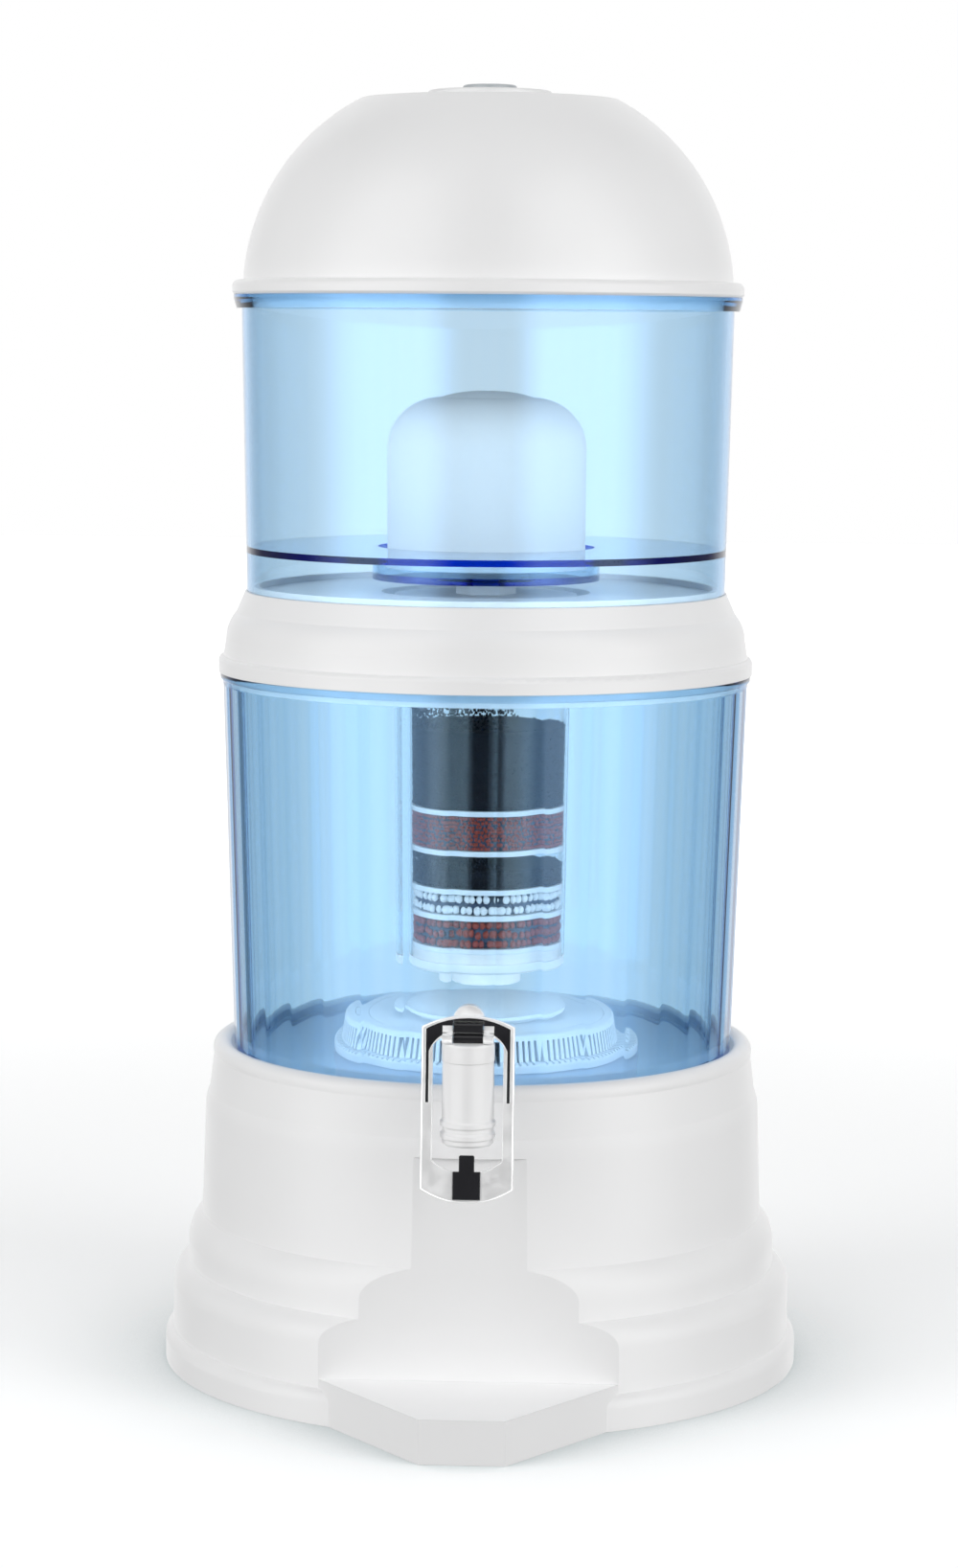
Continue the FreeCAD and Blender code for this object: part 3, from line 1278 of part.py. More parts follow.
def cheek(side):
    """One cam cheek of the lever, whose round underside rolls on the bonnet."""
    near = HEAD_HALF_WIDTH + WINDOW_CLEARANCE
    start = side * near if side > 0 else -near - CHEEK_WIDTH
    cam_radius = PIVOT_RISE - CAM_GAP
    across = Vector(1, 0, 0)
    cam = Part.makeCylinder(cam_radius, CHEEK_WIDTH, Vector(start, -CAM_OFFSET, 0), across)
    ear = Part.makeCylinder(CHEEK_PIVOT_RADIUS, CHEEK_WIDTH, Vector(start, 0, 0), across)
    web = block((start, -CAM_OFFSET, -CHEEK_PIVOT_RADIUS), (start + CHEEK_WIDTH, 0, 0))
    above = block(
        (start - CUT_OVERRUN, -CAM_OFFSET - cam_radius, 0),
        (start + CHEEK_WIDTH + CUT_OVERRUN, -LEVER_DEPTH / 2, cam_radius),
    )
    return cam.fuse([ear, web]).cut(above)


def tap_lever():
    """Chrome oblong lever: arch, legs, push plate and the two cam cheeks."""
    plate = extruded(lever_frame(0), -LEVER_DEPTH / 2, LEVER_DEPTH)
    outer_edges = []
    for edge in plate.Edges:
        box = edge.BoundBox
        if box.YLength < POINT_TOLERANCE:
            outer_edges.append(edge)
    plate = plate.makeFillet(LEVER_EDGE, outer_edges)
    plate = tilted(plate.cut(lever_opening()).cut(window_space()))
    cheeks = at_pivot(cheek(1).fuse(cheek(-1)))
    lever = plate.fuse(cheeks).cut(tilted(inlay_shape())).cut(tilted(pad_shape()))
    return lever.cut(pin_room()).removeSplitter()


def build_all():
    """Every piece by its node's name."""
    pieces = {
        "base_stand": base_stand(),
        "lower_tank": lower_tank(),
        "tank_collar": tank_collar(),
        "upper_tank": upper_tank(),
        "lid_dome": lid_dome(),
        "lid_knob": lid_knob(),
        "knob_insert": knob_insert(),
        "knob_screw": knob_screw(),
        "knob_washer": knob_washer(),
        "ceramic_dome": ceramic_dome(),
        "ceramic_plate": ceramic_plate(),
        "ceramic_seal": ring(SEAL_RADIUS, CERAMIC_STEM_RADIUS, WELL_FLOOR_Z, CERAMIC_PLATE_Z),
        "filter_nut": filter_nut(),
        "cartridge_cap": cartridge_cap(),
        "cartridge_gasket": ring(
            CARTRIDGE_TOP_RADIUS,
            CARTRIDGE_TOP_RADIUS - 2 * CARTRIDGE_WALL,
            SHELL_TOP_Z,
            SHELL_TOP_Z + GASKET_THICKNESS,
        ),
        "cartridge_shell": cartridge_shell(),
        "cartridge_outlet": cartridge_outlet(),
        "mineral_case": mineral_case(),
        "case_lid": case_lid(),
        "mineral_stones": mineral_stones(),
        "tap_body": tap_body(),
        "tap_front_washer": tap_washer(WALL_PAD_FRONT_Y - FRONT_WASHER_THICKNESS, FRONT_WASHER_THICKNESS),
        "tap_inner_washer": tap_washer(WALL_PAD_INNER_Y, INNER_WASHER_THICKNESS),
        "tap_lock_nut": lock_nut(),
        "tap_bonnet": tap_bonnet(),
        "tap_stem": tap_stem(),
        "tap_seat_cup": seat_cup(),
        "tap_spring": tap_spring(),
        "tap_head": tap_head(),
        "tap_head_cap": head_cap(),
        "tap_pivot_pin": pivot_pin(),
        "tap_lever": tap_lever(),
        "lever_inlay": tilted(inlay_shape()).cut(pin_room()),
        "push_pad": tilted(pad_shape()),
    }
    pieces.update(cartridge_layers())
    return pieces


os.makedirs("parts", exist_ok=True)
for node, shape in build_all().items():
    shape.exportStep("parts/%s.step" % node)
    print("%s: %d solids, volume %.1f, valid %s" % (node, len(shape.Solids), shape.Volume, shape.isValid()))
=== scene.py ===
"""Looks of a countertop gravity water filter with a push tap, dressed over its CAD frame, in metres."""

import json
import math
from functools import partial

import bmesh
import bpy
from mathutils import Matrix, Vector

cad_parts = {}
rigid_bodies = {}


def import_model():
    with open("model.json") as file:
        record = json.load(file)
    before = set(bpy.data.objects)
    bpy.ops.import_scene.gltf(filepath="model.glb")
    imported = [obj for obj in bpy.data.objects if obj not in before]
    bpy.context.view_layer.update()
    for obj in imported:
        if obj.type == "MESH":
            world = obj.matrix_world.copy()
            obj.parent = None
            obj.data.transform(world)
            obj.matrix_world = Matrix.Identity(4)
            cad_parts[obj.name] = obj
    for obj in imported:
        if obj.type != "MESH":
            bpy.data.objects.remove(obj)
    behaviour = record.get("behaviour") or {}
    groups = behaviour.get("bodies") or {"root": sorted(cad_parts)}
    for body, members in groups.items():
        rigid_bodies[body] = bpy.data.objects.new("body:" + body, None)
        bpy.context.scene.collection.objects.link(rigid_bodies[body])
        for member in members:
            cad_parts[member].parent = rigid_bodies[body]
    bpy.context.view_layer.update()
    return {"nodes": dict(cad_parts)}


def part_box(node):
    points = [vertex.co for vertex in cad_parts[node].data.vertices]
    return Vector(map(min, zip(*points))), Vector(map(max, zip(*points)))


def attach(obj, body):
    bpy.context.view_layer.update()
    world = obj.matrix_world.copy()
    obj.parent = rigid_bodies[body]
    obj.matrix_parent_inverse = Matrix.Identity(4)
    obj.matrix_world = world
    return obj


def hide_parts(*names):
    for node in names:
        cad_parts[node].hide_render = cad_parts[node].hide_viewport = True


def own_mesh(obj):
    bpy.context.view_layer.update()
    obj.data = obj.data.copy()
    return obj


bl_info = {
    "name": "Gravity Water Filter",
    "version": (1, 0, 0),
    "blender": (4, 5, 0),
    "location": "3D View > Sidebar > Water Filter",
    "description": "Dresses the frame of a gravity water filter with its finishes, beads and granules",
    "category": "Object",
}

for leftover in list(bpy.data.objects):
    bpy.data.objects.remove(leftover)

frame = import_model()
NODES = frame["nodes"]

MILLIMETRE = 0.001


# Settings

colour_setting = partial(bpy.props.FloatVectorProperty, subtype="COLOR", min=0.0, max=1.0)
length_setting = partial(bpy.props.FloatProperty, unit="LENGTH")
amount_setting = partial(bpy.props.FloatProperty, min=0.0)


class FilterFinishes(bpy.types.PropertyGroup):
    """Colours of the filter's finishes."""

    white_plastic: colour_setting(
        name="White Plastic",
        description="Colour of the stand, collar, lid, knob and tap",
        default=(0.82, 0.821, 0.824),
    )
    pale_plastic: colour_setting(
        name="Pale Plastic",
        description="Colour of the cartridge's fittings and the stone case",
        default=(0.78, 0.82, 0.86),
    )
    insert_grey: colour_setting(
        name="Insert Grey",
        description="Colour of the button in the lid's knob",
        default=(0.42, 0.45, 0.47),
    )
    tank_tint: colour_setting(
        name="Tank Tint",
        description="Colour that light takes on its way through the tanks",
        default=(0.06, 0.58, 0.92),
    )
    tank_tint_density: amount_setting(
        name="Tank Tint Density",
        description="Strength of the tanks' tint for each metre of plastic",
        default=136.0,
        max=1000.0,
    )
    red_beads: colour_setting(
        name="Red Beads",
        description="Colour of the red ceramic beads",
        default=(0.3, 0.06, 0.04),
    )


class FilterMedia(bpy.types.PropertyGroup):
    """Sizes of the beads and granules in the cartridge."""

    granule_size: length_setting(
        name="Carbon Granule",
        description="Width of a carbon granule",
        default=1.9 * MILLIMETRE,
        min=0.5 * MILLIMETRE,
        max=6.0 * MILLIMETRE,
    )
    fine_bead_size: length_setting(
        name="Fine Bead",
        description="Width of a fine red bead",
        default=2.1 * MILLIMETRE,
        min=0.5 * MILLIMETRE,
        max=6.0 * MILLIMETRE,
    )
    white_bead_size: length_setting(
        name="White Bead",
        description="Width of a white bead",
        default=4.4 * MILLIMETRE,
        min=1.0 * MILLIMETRE,
        max=8.0 * MILLIMETRE,
    )
    coarse_bead_size: length_setting(
        name="Coarse Bead",
        description="Width of a coarse red bead",
        default=4.1 * MILLIMETRE,
        min=1.0 * MILLIMETRE,
        max=8.0 * MILLIMETRE,
    )
    seed: bpy.props.IntProperty(
        name="Seed",
        description="Seed of the beads' and granules' uneven packing",
        default=7,
        min=0,
    )


class FilterTank(bpy.types.PropertyGroup):
    """Sizes of the lower tank that its frame doesn't give."""

    facets: bpy.props.IntProperty(
        name="Facets",
        description="Number of flats round the lower tank",
        default=36,
        min=8,
    )
    corner_softness: amount_setting(
        name="Corner Softness",
        description="Share of a flat over which its corners are rounded",
        default=0.1,
        min=0.01,
        max=0.5,
    )
    wall: length_setting(
        name="Wall",
        description="Thickness of the wall behind a flat",
        default=2.6 * MILLIMETRE,
        min=1.0 * MILLIMETRE,
    )
    floor: length_setting(
        name="Floor",
        description="Thickness of the floor",
        default=3.0 * MILLIMETRE,
        min=1.0 * MILLIMETRE,
    )
    edge: length_setting(
        name="Edge",
        description="Size of the slope round the floor's edge",
        default=3.0 * MILLIMETRE,
        min=0.5 * MILLIMETRE,
    )
    ring_height: length_setting(
        name="Ring Height",
        description="Height of the ring at the rim",
        default=3.3 * MILLIMETRE,
        min=1.0 * MILLIMETRE,
    )
    neck_height: length_setting(
        name="Neck Height",
        description="Height of the round neck between the flats and the ring",
        default=2.6 * MILLIMETRE,
        min=0.5 * MILLIMETRE,
    )
    rim_softness: length_setting(
        name="Rim Softness",
        description="Size of the soft edges of the rim",
        default=0.4 * MILLIMETRE,
        min=0.05 * MILLIMETRE,
    )
    pad_radius: length_setting(
        name="Pad Radius",
        description="Radius of the round pad that the tap is clamped to",
        default=9.7 * MILLIMETRE,
        min=5.0 * MILLIMETRE,
    )
    hole_radius: length_setting(
        name="Hole Radius",
        description="Radius of the hole for the tap",
        default=7.3 * MILLIMETRE,
        min=3.0 * MILLIMETRE,
    )


class FilterStage(bpy.types.PropertyGroup):
    """Floor, light and camera."""

    floor_width: length_setting(
        name="Floor Width",
        description="Width of the pale floor",
        default=14.0,
        min=2.0,
    )
    upper_light: amount_setting(
        name="Upper Light",
        description="Brightness of the soft light from above the horizon",
        default=0.46,
    )
    lower_light: amount_setting(
        name="Lower Light",
        description="Brightness of the soft light that the floor throws back",
        default=0.42,
    )
    soft_box_glow: amount_setting(
        name="Soft Box Glow",
        description="Brightness of the two soft boxes in reflections",
        default=3.5,
    )
    gap_glow: amount_setting(
        name="Gap Glow",
        description="Brightness of the gap between the soft boxes in reflections",
        default=0.04,
    )
    side_glow: amount_setting(
        name="Side Glow",
        description="Brightness of the studio's sides in reflections",
        default=0.22,
    )
    side_light: amount_setting(
        name="Side Light",
        description="Power of each large soft light at the sides",
        default=20.0,
        unit="POWER",
    )


# Node helpers and finishes


class Sketch:
    """Adds nodes to a tree and joins them."""

    def __init__(self, tree):
        self.tree = tree

    def add(self, kind, **settings):
        """A new node with its settings."""
        node = self.tree.nodes.new(kind)
        for name, value in settings.items():
            setattr(node, name, value)
        return node

    def feed(self, socket, value):
        """Joins a socket to another, or sets its value."""
        if isinstance(value, bpy.types.NodeSocket):
            self.tree.links.new(value, socket)
        else:
            socket.default_value = value

    def node(self, kind, inputs, **settings):
        """A new node with named inputs fed."""
        node = self.add(kind, **settings)
        for name, value in inputs.items():
            self.feed(node.inputs[name], value)
        return node

    def math(self, operation, first, second=0.0):
        """Result socket of a math node."""
        node = self.add("ShaderNodeMath", operation=operation)
        self.feed(node.inputs[0], first)
        self.feed(node.inputs[1], second)
        return node.outputs[0]

    def plus(self, first, second):
        """Sum of two numbers."""
        return self.math("ADD", first, second)

    def minus(self, first, second):
        """Difference of two numbers."""
        return self.math("SUBTRACT", first, second)

    def times(self, first, second):
        """Product of two numbers."""
        return self.math("MULTIPLY", first, second)

    def over(self, first, second):
        """One number divided by another."""
        return self.math("DIVIDE", first, second)

    def between(self, value, low, high):
        """A zero to one value spread between two numbers."""
        node = self.add("ShaderNodeMapRange")
        self.feed(node.inputs["Value"], value)
        self.feed(node.inputs["To Min"], low)
        self.feed(node.inputs["To Max"], high)
        return node.outputs["Result"]

    def ramp(self, value, span, low, high):
        """A number that eases from one value to another over a span."""
        node = self.add("ShaderNodeMapRange", interpolation_type="SMOOTHSTEP")
        self.feed(node.inputs["Value"], value)
        self.feed(node.inputs["From Min"], span[0])
        self.feed(node.inputs["From Max"], span[1])
        self.feed(node.inputs["To Min"], low)
        self.feed(node.inputs["To Max"], high)
        return node.outputs["Result"]

    def blend(self, factor, first, second):
        """A number between two others."""
        node = self.add("ShaderNodeMix", data_type="FLOAT")
        self.feed(node.inputs["Factor"], factor)
        self.feed(node.inputs["A"], first)
        self.feed(node.inputs["B"], second)
        return node.outputs["Result"]


def new_finish(name):
    """A material with a plain Principled shader, its sketch and its Object coordinates."""
    finish = bpy.data.materials.new(name)
    finish.use_nodes = True
    tree = finish.node_tree
    tree.nodes.clear()
    sketch = Sketch(tree)
    shader = sketch.add("ShaderNodeBsdfPrincipled")
    output = sketch.add("ShaderNodeOutputMaterial")
    tree.links.new(shader.outputs[0], output.inputs["Surface"])
    place = sketch.add("ShaderNodeTexCoord").outputs["Object"]
    return finish, sketch, shader, output, place


def noise(sketch, place, scale, detail=3.0, roughness=0.55):
    """Even noise of a given number of features in each metre."""
    node = sketch.node(
        "ShaderNodeTexNoise", {"Vector": place, "Scale": scale, "Detail": detail, "Roughness": roughness}
    )
    return node.outputs["Fac"]


def tone(sketch, factor, dark, light):
    """Colour between two tones."""
    node = sketch.add("ShaderNodeMix", data_type="RGBA")
    sketch.feed(node.inputs["Factor"], factor)
    sketch.feed(node.inputs["A"], (*dark, 1.0))
    sketch.feed(node.inputs["B"], (*light, 1.0))
    return node.outputs["Result"]


EDGE_SAMPLES = 4


def relief(sketch, shader, height, depth, edge_radius=0.0):
    """Fine surface relief of a given depth, over edges that look rounded where a radius is given."""
    bump = sketch.node("ShaderNodeBump", {"Height": height, "Distance": depth, "Strength": 1.0})
    if edge_radius > 0.0:
        edges = sketch.node("ShaderNodeBevel", {"Radius": edge_radius}, samples=EDGE_SAMPLES)
        sketch.feed(bump.inputs["Normal"], edges.outputs["Normal"])
    sketch.feed(shader.inputs["Normal"], bump.outputs["Normal"])


def shaded(colour, factor):
    """A colour made darker or lighter by a factor."""
    return tuple(min(1.0, channel * factor) for channel in colour)


def tones(sketch, shader, factor, colour, dark, light):
    """Varies a shader's colour between two shares of a colour."""
    varied = tone(sketch, factor, shaded(colour, dark), shaded(colour, light))
    sketch.feed(shader.inputs["Base Color"], varied)


MOULDED_EDGE = 0.6 * MILLIMETRE
MOULDED_GRAIN = 0.012 * MILLIMETRE
SHEEN_SPREAD = 0.07


def moulded_plastic(name, colour, gloss):
    """Injection-moulded plastic: faint cloudiness, fine grain and uneven gloss."""
    finish, sketch, shader, _, place = new_finish(name)
    clouds = noise(sketch, place, scale=22.0)
    grain = noise(sketch, place, scale=1500.0, detail=2.0)
    patches = noise(sketch, place, scale=90.0)
    tones(sketch, shader, clouds, colour, dark=0.985, light=1.015)
    sheen = sketch.between(patches, gloss - SHEEN_SPREAD, gloss + SHEEN_SPREAD)
    sketch.feed(shader.inputs["Roughness"], sheen)
    shader.inputs["IOR"].default_value = 1.47
    relief(sketch, shader, grain, MOULDED_GRAIN, MOULDED_EDGE)
    return finish


CLEAR_SHEEN = (1.0, 1.0, 1.0)
BLUE_SHEEN = (0.5, 0.72, 1.0)


def clear_plastic(name, tint, density, gloss, refraction=1.49, waviness=0.02, sheen=CLEAR_SHEEN, milk=0.0):
    """See-through moulded plastic with its tint in its depth and slightly wavy faces, milky where asked."""
    finish, sketch, shader, output, place = new_finish(name)
    shader.inputs["Specular Tint"].default_value = (*sheen, 1.0)
    waves = noise(sketch, place, scale=28.0, detail=2.0)
    haze = noise(sketch, place, scale=160.0)
    shader.inputs["Base Color"].default_value = (1.0, 1.0, 1.0, 1.0)
    shader.inputs["Transmission Weight"].default_value = 1.0 - milk
    shader.inputs["IOR"].default_value = refraction
    sketch.feed(shader.inputs["Roughness"], sketch.between(haze, gloss * 0.5, gloss * 1.5))
    relief(sketch, shader, waves, waviness * MILLIMETRE)
    depth = sketch.add("ShaderNodeVolumeAbsorption")
    depth.inputs["Color"].default_value = (*tint, 1.0)
    depth.inputs["Density"].default_value = density
    sketch.tree.links.new(depth.outputs["Volume"], output.inputs["Volume"])
    return finish


def polished_metal(name, colour, gloss):
    """Bright metal with faint smears in its polish."""
    finish, sketch, shader, _, place = new_finish(name)
    smears = noise(sketch, place, scale=260.0)
    ripple = noise(sketch, place, scale=45.0, detail=1.0)
    tones(sketch, shader, smears, colour, dark=0.97, light=1.0)
    shader.inputs["Metallic"].default_value = 1.0
    sketch.feed(shader.inputs["Roughness"], sketch.between(smears, gloss * 0.9, gloss * 1.1))
    relief(sketch, shader, ripple, 0.004 * MILLIMETRE)
    return finish


PLATED_EDGE = 0.35 * MILLIMETRE
STREAK_SPAN = (0.4, 0.6)


def satin_chrome(name, colour, gloss):
    """Pale satin plating with soft grey streaks."""
    finish, sketch, shader, _, place = new_finish(name)
    streaks = noise(sketch, place, scale=120.0, detail=2.0)
    smears = noise(sketch, place, scale=420.0)
    tones(sketch, shader, smears, colour, dark=0.96, light=1.0)
    sketch.feed(shader.inputs["Metallic"], sketch.ramp(streaks, STREAK_SPAN, 0.3, 0.75))
    sketch.feed(shader.inputs["Roughness"], sketch.between(smears, gloss * 0.9, gloss * 1.1))
    relief(sketch, shader, streaks, 0.006 * MILLIMETRE, PLATED_EDGE)
    return finish


def fired_ceramic(name, colour):
    """Fine matt ceramic with pores and faint speckle."""
    finish, sketch, shader, _, place = new_finish(name)
    speckle = noise(sketch, place, scale=420.0, detail=4.0)
    pores = noise(sketch, place, scale=1900.0, detail=2.0)
    tones(sketch, shader, speckle, colour, dark=0.95, light=1.02)
    sketch.feed(shader.inputs["Roughness"], sketch.between(pores, 0.6, 0.78))
    relief(sketch, shader, pores, 0.03 * MILLIMETRE)
    return finish


TONES_PER_CELL = 7.0


def bead_ceramic(name, colour, spread, cell_scale, refraction=1.4):
    """Beads that differ in tone from one to the next, with a dusty face."""
    finish, sketch, shader, _, place = new_finish(name)
    shader.inputs["IOR"].default_value = refraction
    cells = sketch.node("ShaderNodeTexVoronoi", {"Vector": place, "Scale": cell_scale})
    dust = noise(sketch, place, scale=2400.0, detail=2.0)
    factor = sketch.math("FRACT", sketch.times(cells.outputs["Distance"], TONES_PER_CELL))
    tones(sketch, shader, factor, colour, 1.0 - spread, 1.0 + spread)
    sketch.feed(shader.inputs["Roughness"], sketch.between(dust, 0.5, 0.75))
    relief(sketch, shader, dust, 0.03 * MILLIMETRE)
    return finish


def soft_rubber(name, colour):
    """Matt silicone with a fine skin."""
    finish, sketch, shader, _, place = new_finish(name)
    skin = noise(sketch, place, scale=1300.0, detail=2.0)
    tones(sketch, shader, skin, colour, dark=0.96, light=1.0)
    sketch.feed(shader.inputs["Roughness"], sketch.between(skin, 0.48, 0.62))
    relief(sketch, shader, skin, 0.02 * MILLIMETRE)
    return finish


def finish_of(name):
    """A finish by its name, made where it isn't there yet."""
    return bpy.data.materials.get(name) or FINISH_MAKERS[name](name)


def settings():
    """The filter's colour settings."""
    return bpy.context.scene.filter_finishes


def tank_plastic(name, tint, depth, gloss):
    """Blue plastic of a tank, with its tint made deeper by a factor."""
    return clear_plastic(name, tint, settings().tank_tint_density * depth, gloss, sheen=BLUE_SHEEN)


LOWER_TANK_DEPTH = 1.35
LOWER_TANK_TINT = (0.05, 0.55, 0.86)

FINISH_MAKERS = {
    "white_moulding": lambda name: moulded_plastic(name, settings().white_plastic, 0.34),
    "pale_moulding": lambda name: moulded_plastic(name, settings().pale_plastic, 0.42),
    "grey_insert": lambda name: moulded_plastic(name, settings().insert_grey, 0.3),
    "black_gloss": lambda name: moulded_plastic(name, (0.012, 0.012, 0.014), 0.22),
    "blue_tank": lambda name: tank_plastic(name, settings().tank_tint, 1.0, 0.03),
    "blue_lower_tank": lambda name: tank_plastic(name, LOWER_TANK_TINT, LOWER_TANK_DEPTH, 0.02),
    "clear_tube": lambda name: clear_plastic(name, (0.7, 0.85, 0.95), 12.0, 0.03, 1.35, 0.01),
    "milky_outlet": lambda name: clear_plastic(name, (0.6, 0.8, 0.95), 12.0, 0.4, 1.35, 0.01, milk=0.65),
    # painted shade: a dark finish that stands in for the shade between beads, on the core and the inner beads
    "painted_bead_shade": lambda name: bead_ceramic(name, (0.08, 0.1, 0.15), 0.3, 420.0, 1.1),
    "candle_ceramic": lambda name: fired_ceramic(name, (0.66, 0.665, 0.67)),
    "carbon": lambda name: bead_ceramic(name, (0.012, 0.013, 0.017), 0.6, 520.0, 1.1),
    "red_bead": lambda name: bead_ceramic(name, settings().red_beads, 0.3, 420.0),
    "white_bead": lambda name: bead_ceramic(name, (0.8, 0.82, 0.84), 0.08, 240.0),
    "river_stone": lambda name: bead_ceramic(name, (0.5, 0.45, 0.38), 0.35, 95.0),
    "seal_rubber": lambda name: soft_rubber(name, (0.8, 0.83, 0.85)),
    "bright_steel": lambda name: polished_metal(name, (0.6, 0.61, 0.62), 0.22),
    "chrome": lambda name: satin_chrome(name, (0.9, 0.903, 0.907), 0.34),
}


def new_object(name, data):
    """An object that holds some data, linked to the scene."""
    made = bpy.data.objects.new(name, data)
    bpy.context.scene.collection.objects.link(made)
    return made


def shaped_mesh(piece):
    """Plain mesh of a piece as its modifiers shape it."""
    shapes = bpy.context.evaluated_depsgraph_get()
    return bpy.data.meshes.new_from_object(piece.evaluated_get(shapes))


def dress(finish_name, *node_names):
    """Gives carried-over CAD nodes a finish."""
    finish = finish_of(finish_name)
    for node_name in node_names:
        for slot in NODES[node_name].material_slots:
            slot.material = finish


def let_light_in(*pieces):
    """Lets the studio's lamps shine through see-through pieces on what they hold."""
    for piece in pieces:
        piece.visible_shadow = False


# Beads and granules


LEVEL_REACH = 0.05 * MILLIMETRE


def end_radius(node, height):
    """Largest distance from the axis of a node's points at a height."""
    reach = 0.0
    for vertex in node.data.vertices:
        if abs(vertex.co.z - height) < LEVEL_REACH:
            reach = max(reach, math.hypot(vertex.co.x, vertex.co.y))
    return reach


PACKING_INPUTS = {
    "Float": (
        "Low",
        "Height",
        "Low Radius",
        "High Radius",
        "Grain Size",
        "Unevenness",
        "Least Scale",
        "Empty Top",
        "Slump",
    ),
    "Int": ("Segments", "Rings", "Seed"),
    "Material": ("Finish", "Painted Shade Finish"),
}


def random_value(sketch, low, high, seed, offset, data_type="FLOAT"):
    """A random number or vector for each grain."""
    node = sketch.add("FunctionNodeRandomValue", data_type=data_type)
    number = 0 if data_type == "FLOAT_VECTOR" else 2
    sketch.feed(node.inputs[number], low)
    sketch.feed(node.inputs[number + 1], high)
    sketch.feed(node.inputs["Seed"], sketch.plus(seed, float(offset)))
    return node.outputs[0 if data_type == "FLOAT_VECTOR" else 1]


def new_tree(name, inputs):
    """A geometry nodes tree with its named inputs, its sketch and the inputs' sockets."""
    tree = bpy.data.node_groups.new(name, "GeometryNodeTree")
    tree.interface.new_socket(name="Geometry", in_out="OUTPUT", socket_type="NodeSocketGeometry")
    for kind, labels in inputs.items():
        for label in labels:
            tree.interface.new_socket(name=label, in_out="INPUT", socket_type="NodeSocket" + kind)
    sketch = Sketch(tree)
    return tree, sketch, sketch.add("NodeGroupInput").outputs


def spot_on_circle(sketch, reach, angle, height):
    """A place at a distance from the axis, an angle and a height."""
    place = sketch.add("ShaderNodeCombineXYZ")
    sketch.feed(place.inputs["X"], sketch.times(reach, sketch.math("COSINE", angle)))
    sketch.feed(place.inputs["Y"], sketch.times(reach, sketch.math("SINE", angle)))
    sketch.feed(place.inputs["Z"], height)
    return place.outputs[0]


ROW_PITCH = 0.9
SLUMP_SPAN = (0.1, 0.35)
CORE_SIDES = 96
CORE_GAP = 0.1
CORE_INSET = 0.75
PAINTED_SHADE_INSET = 0.57


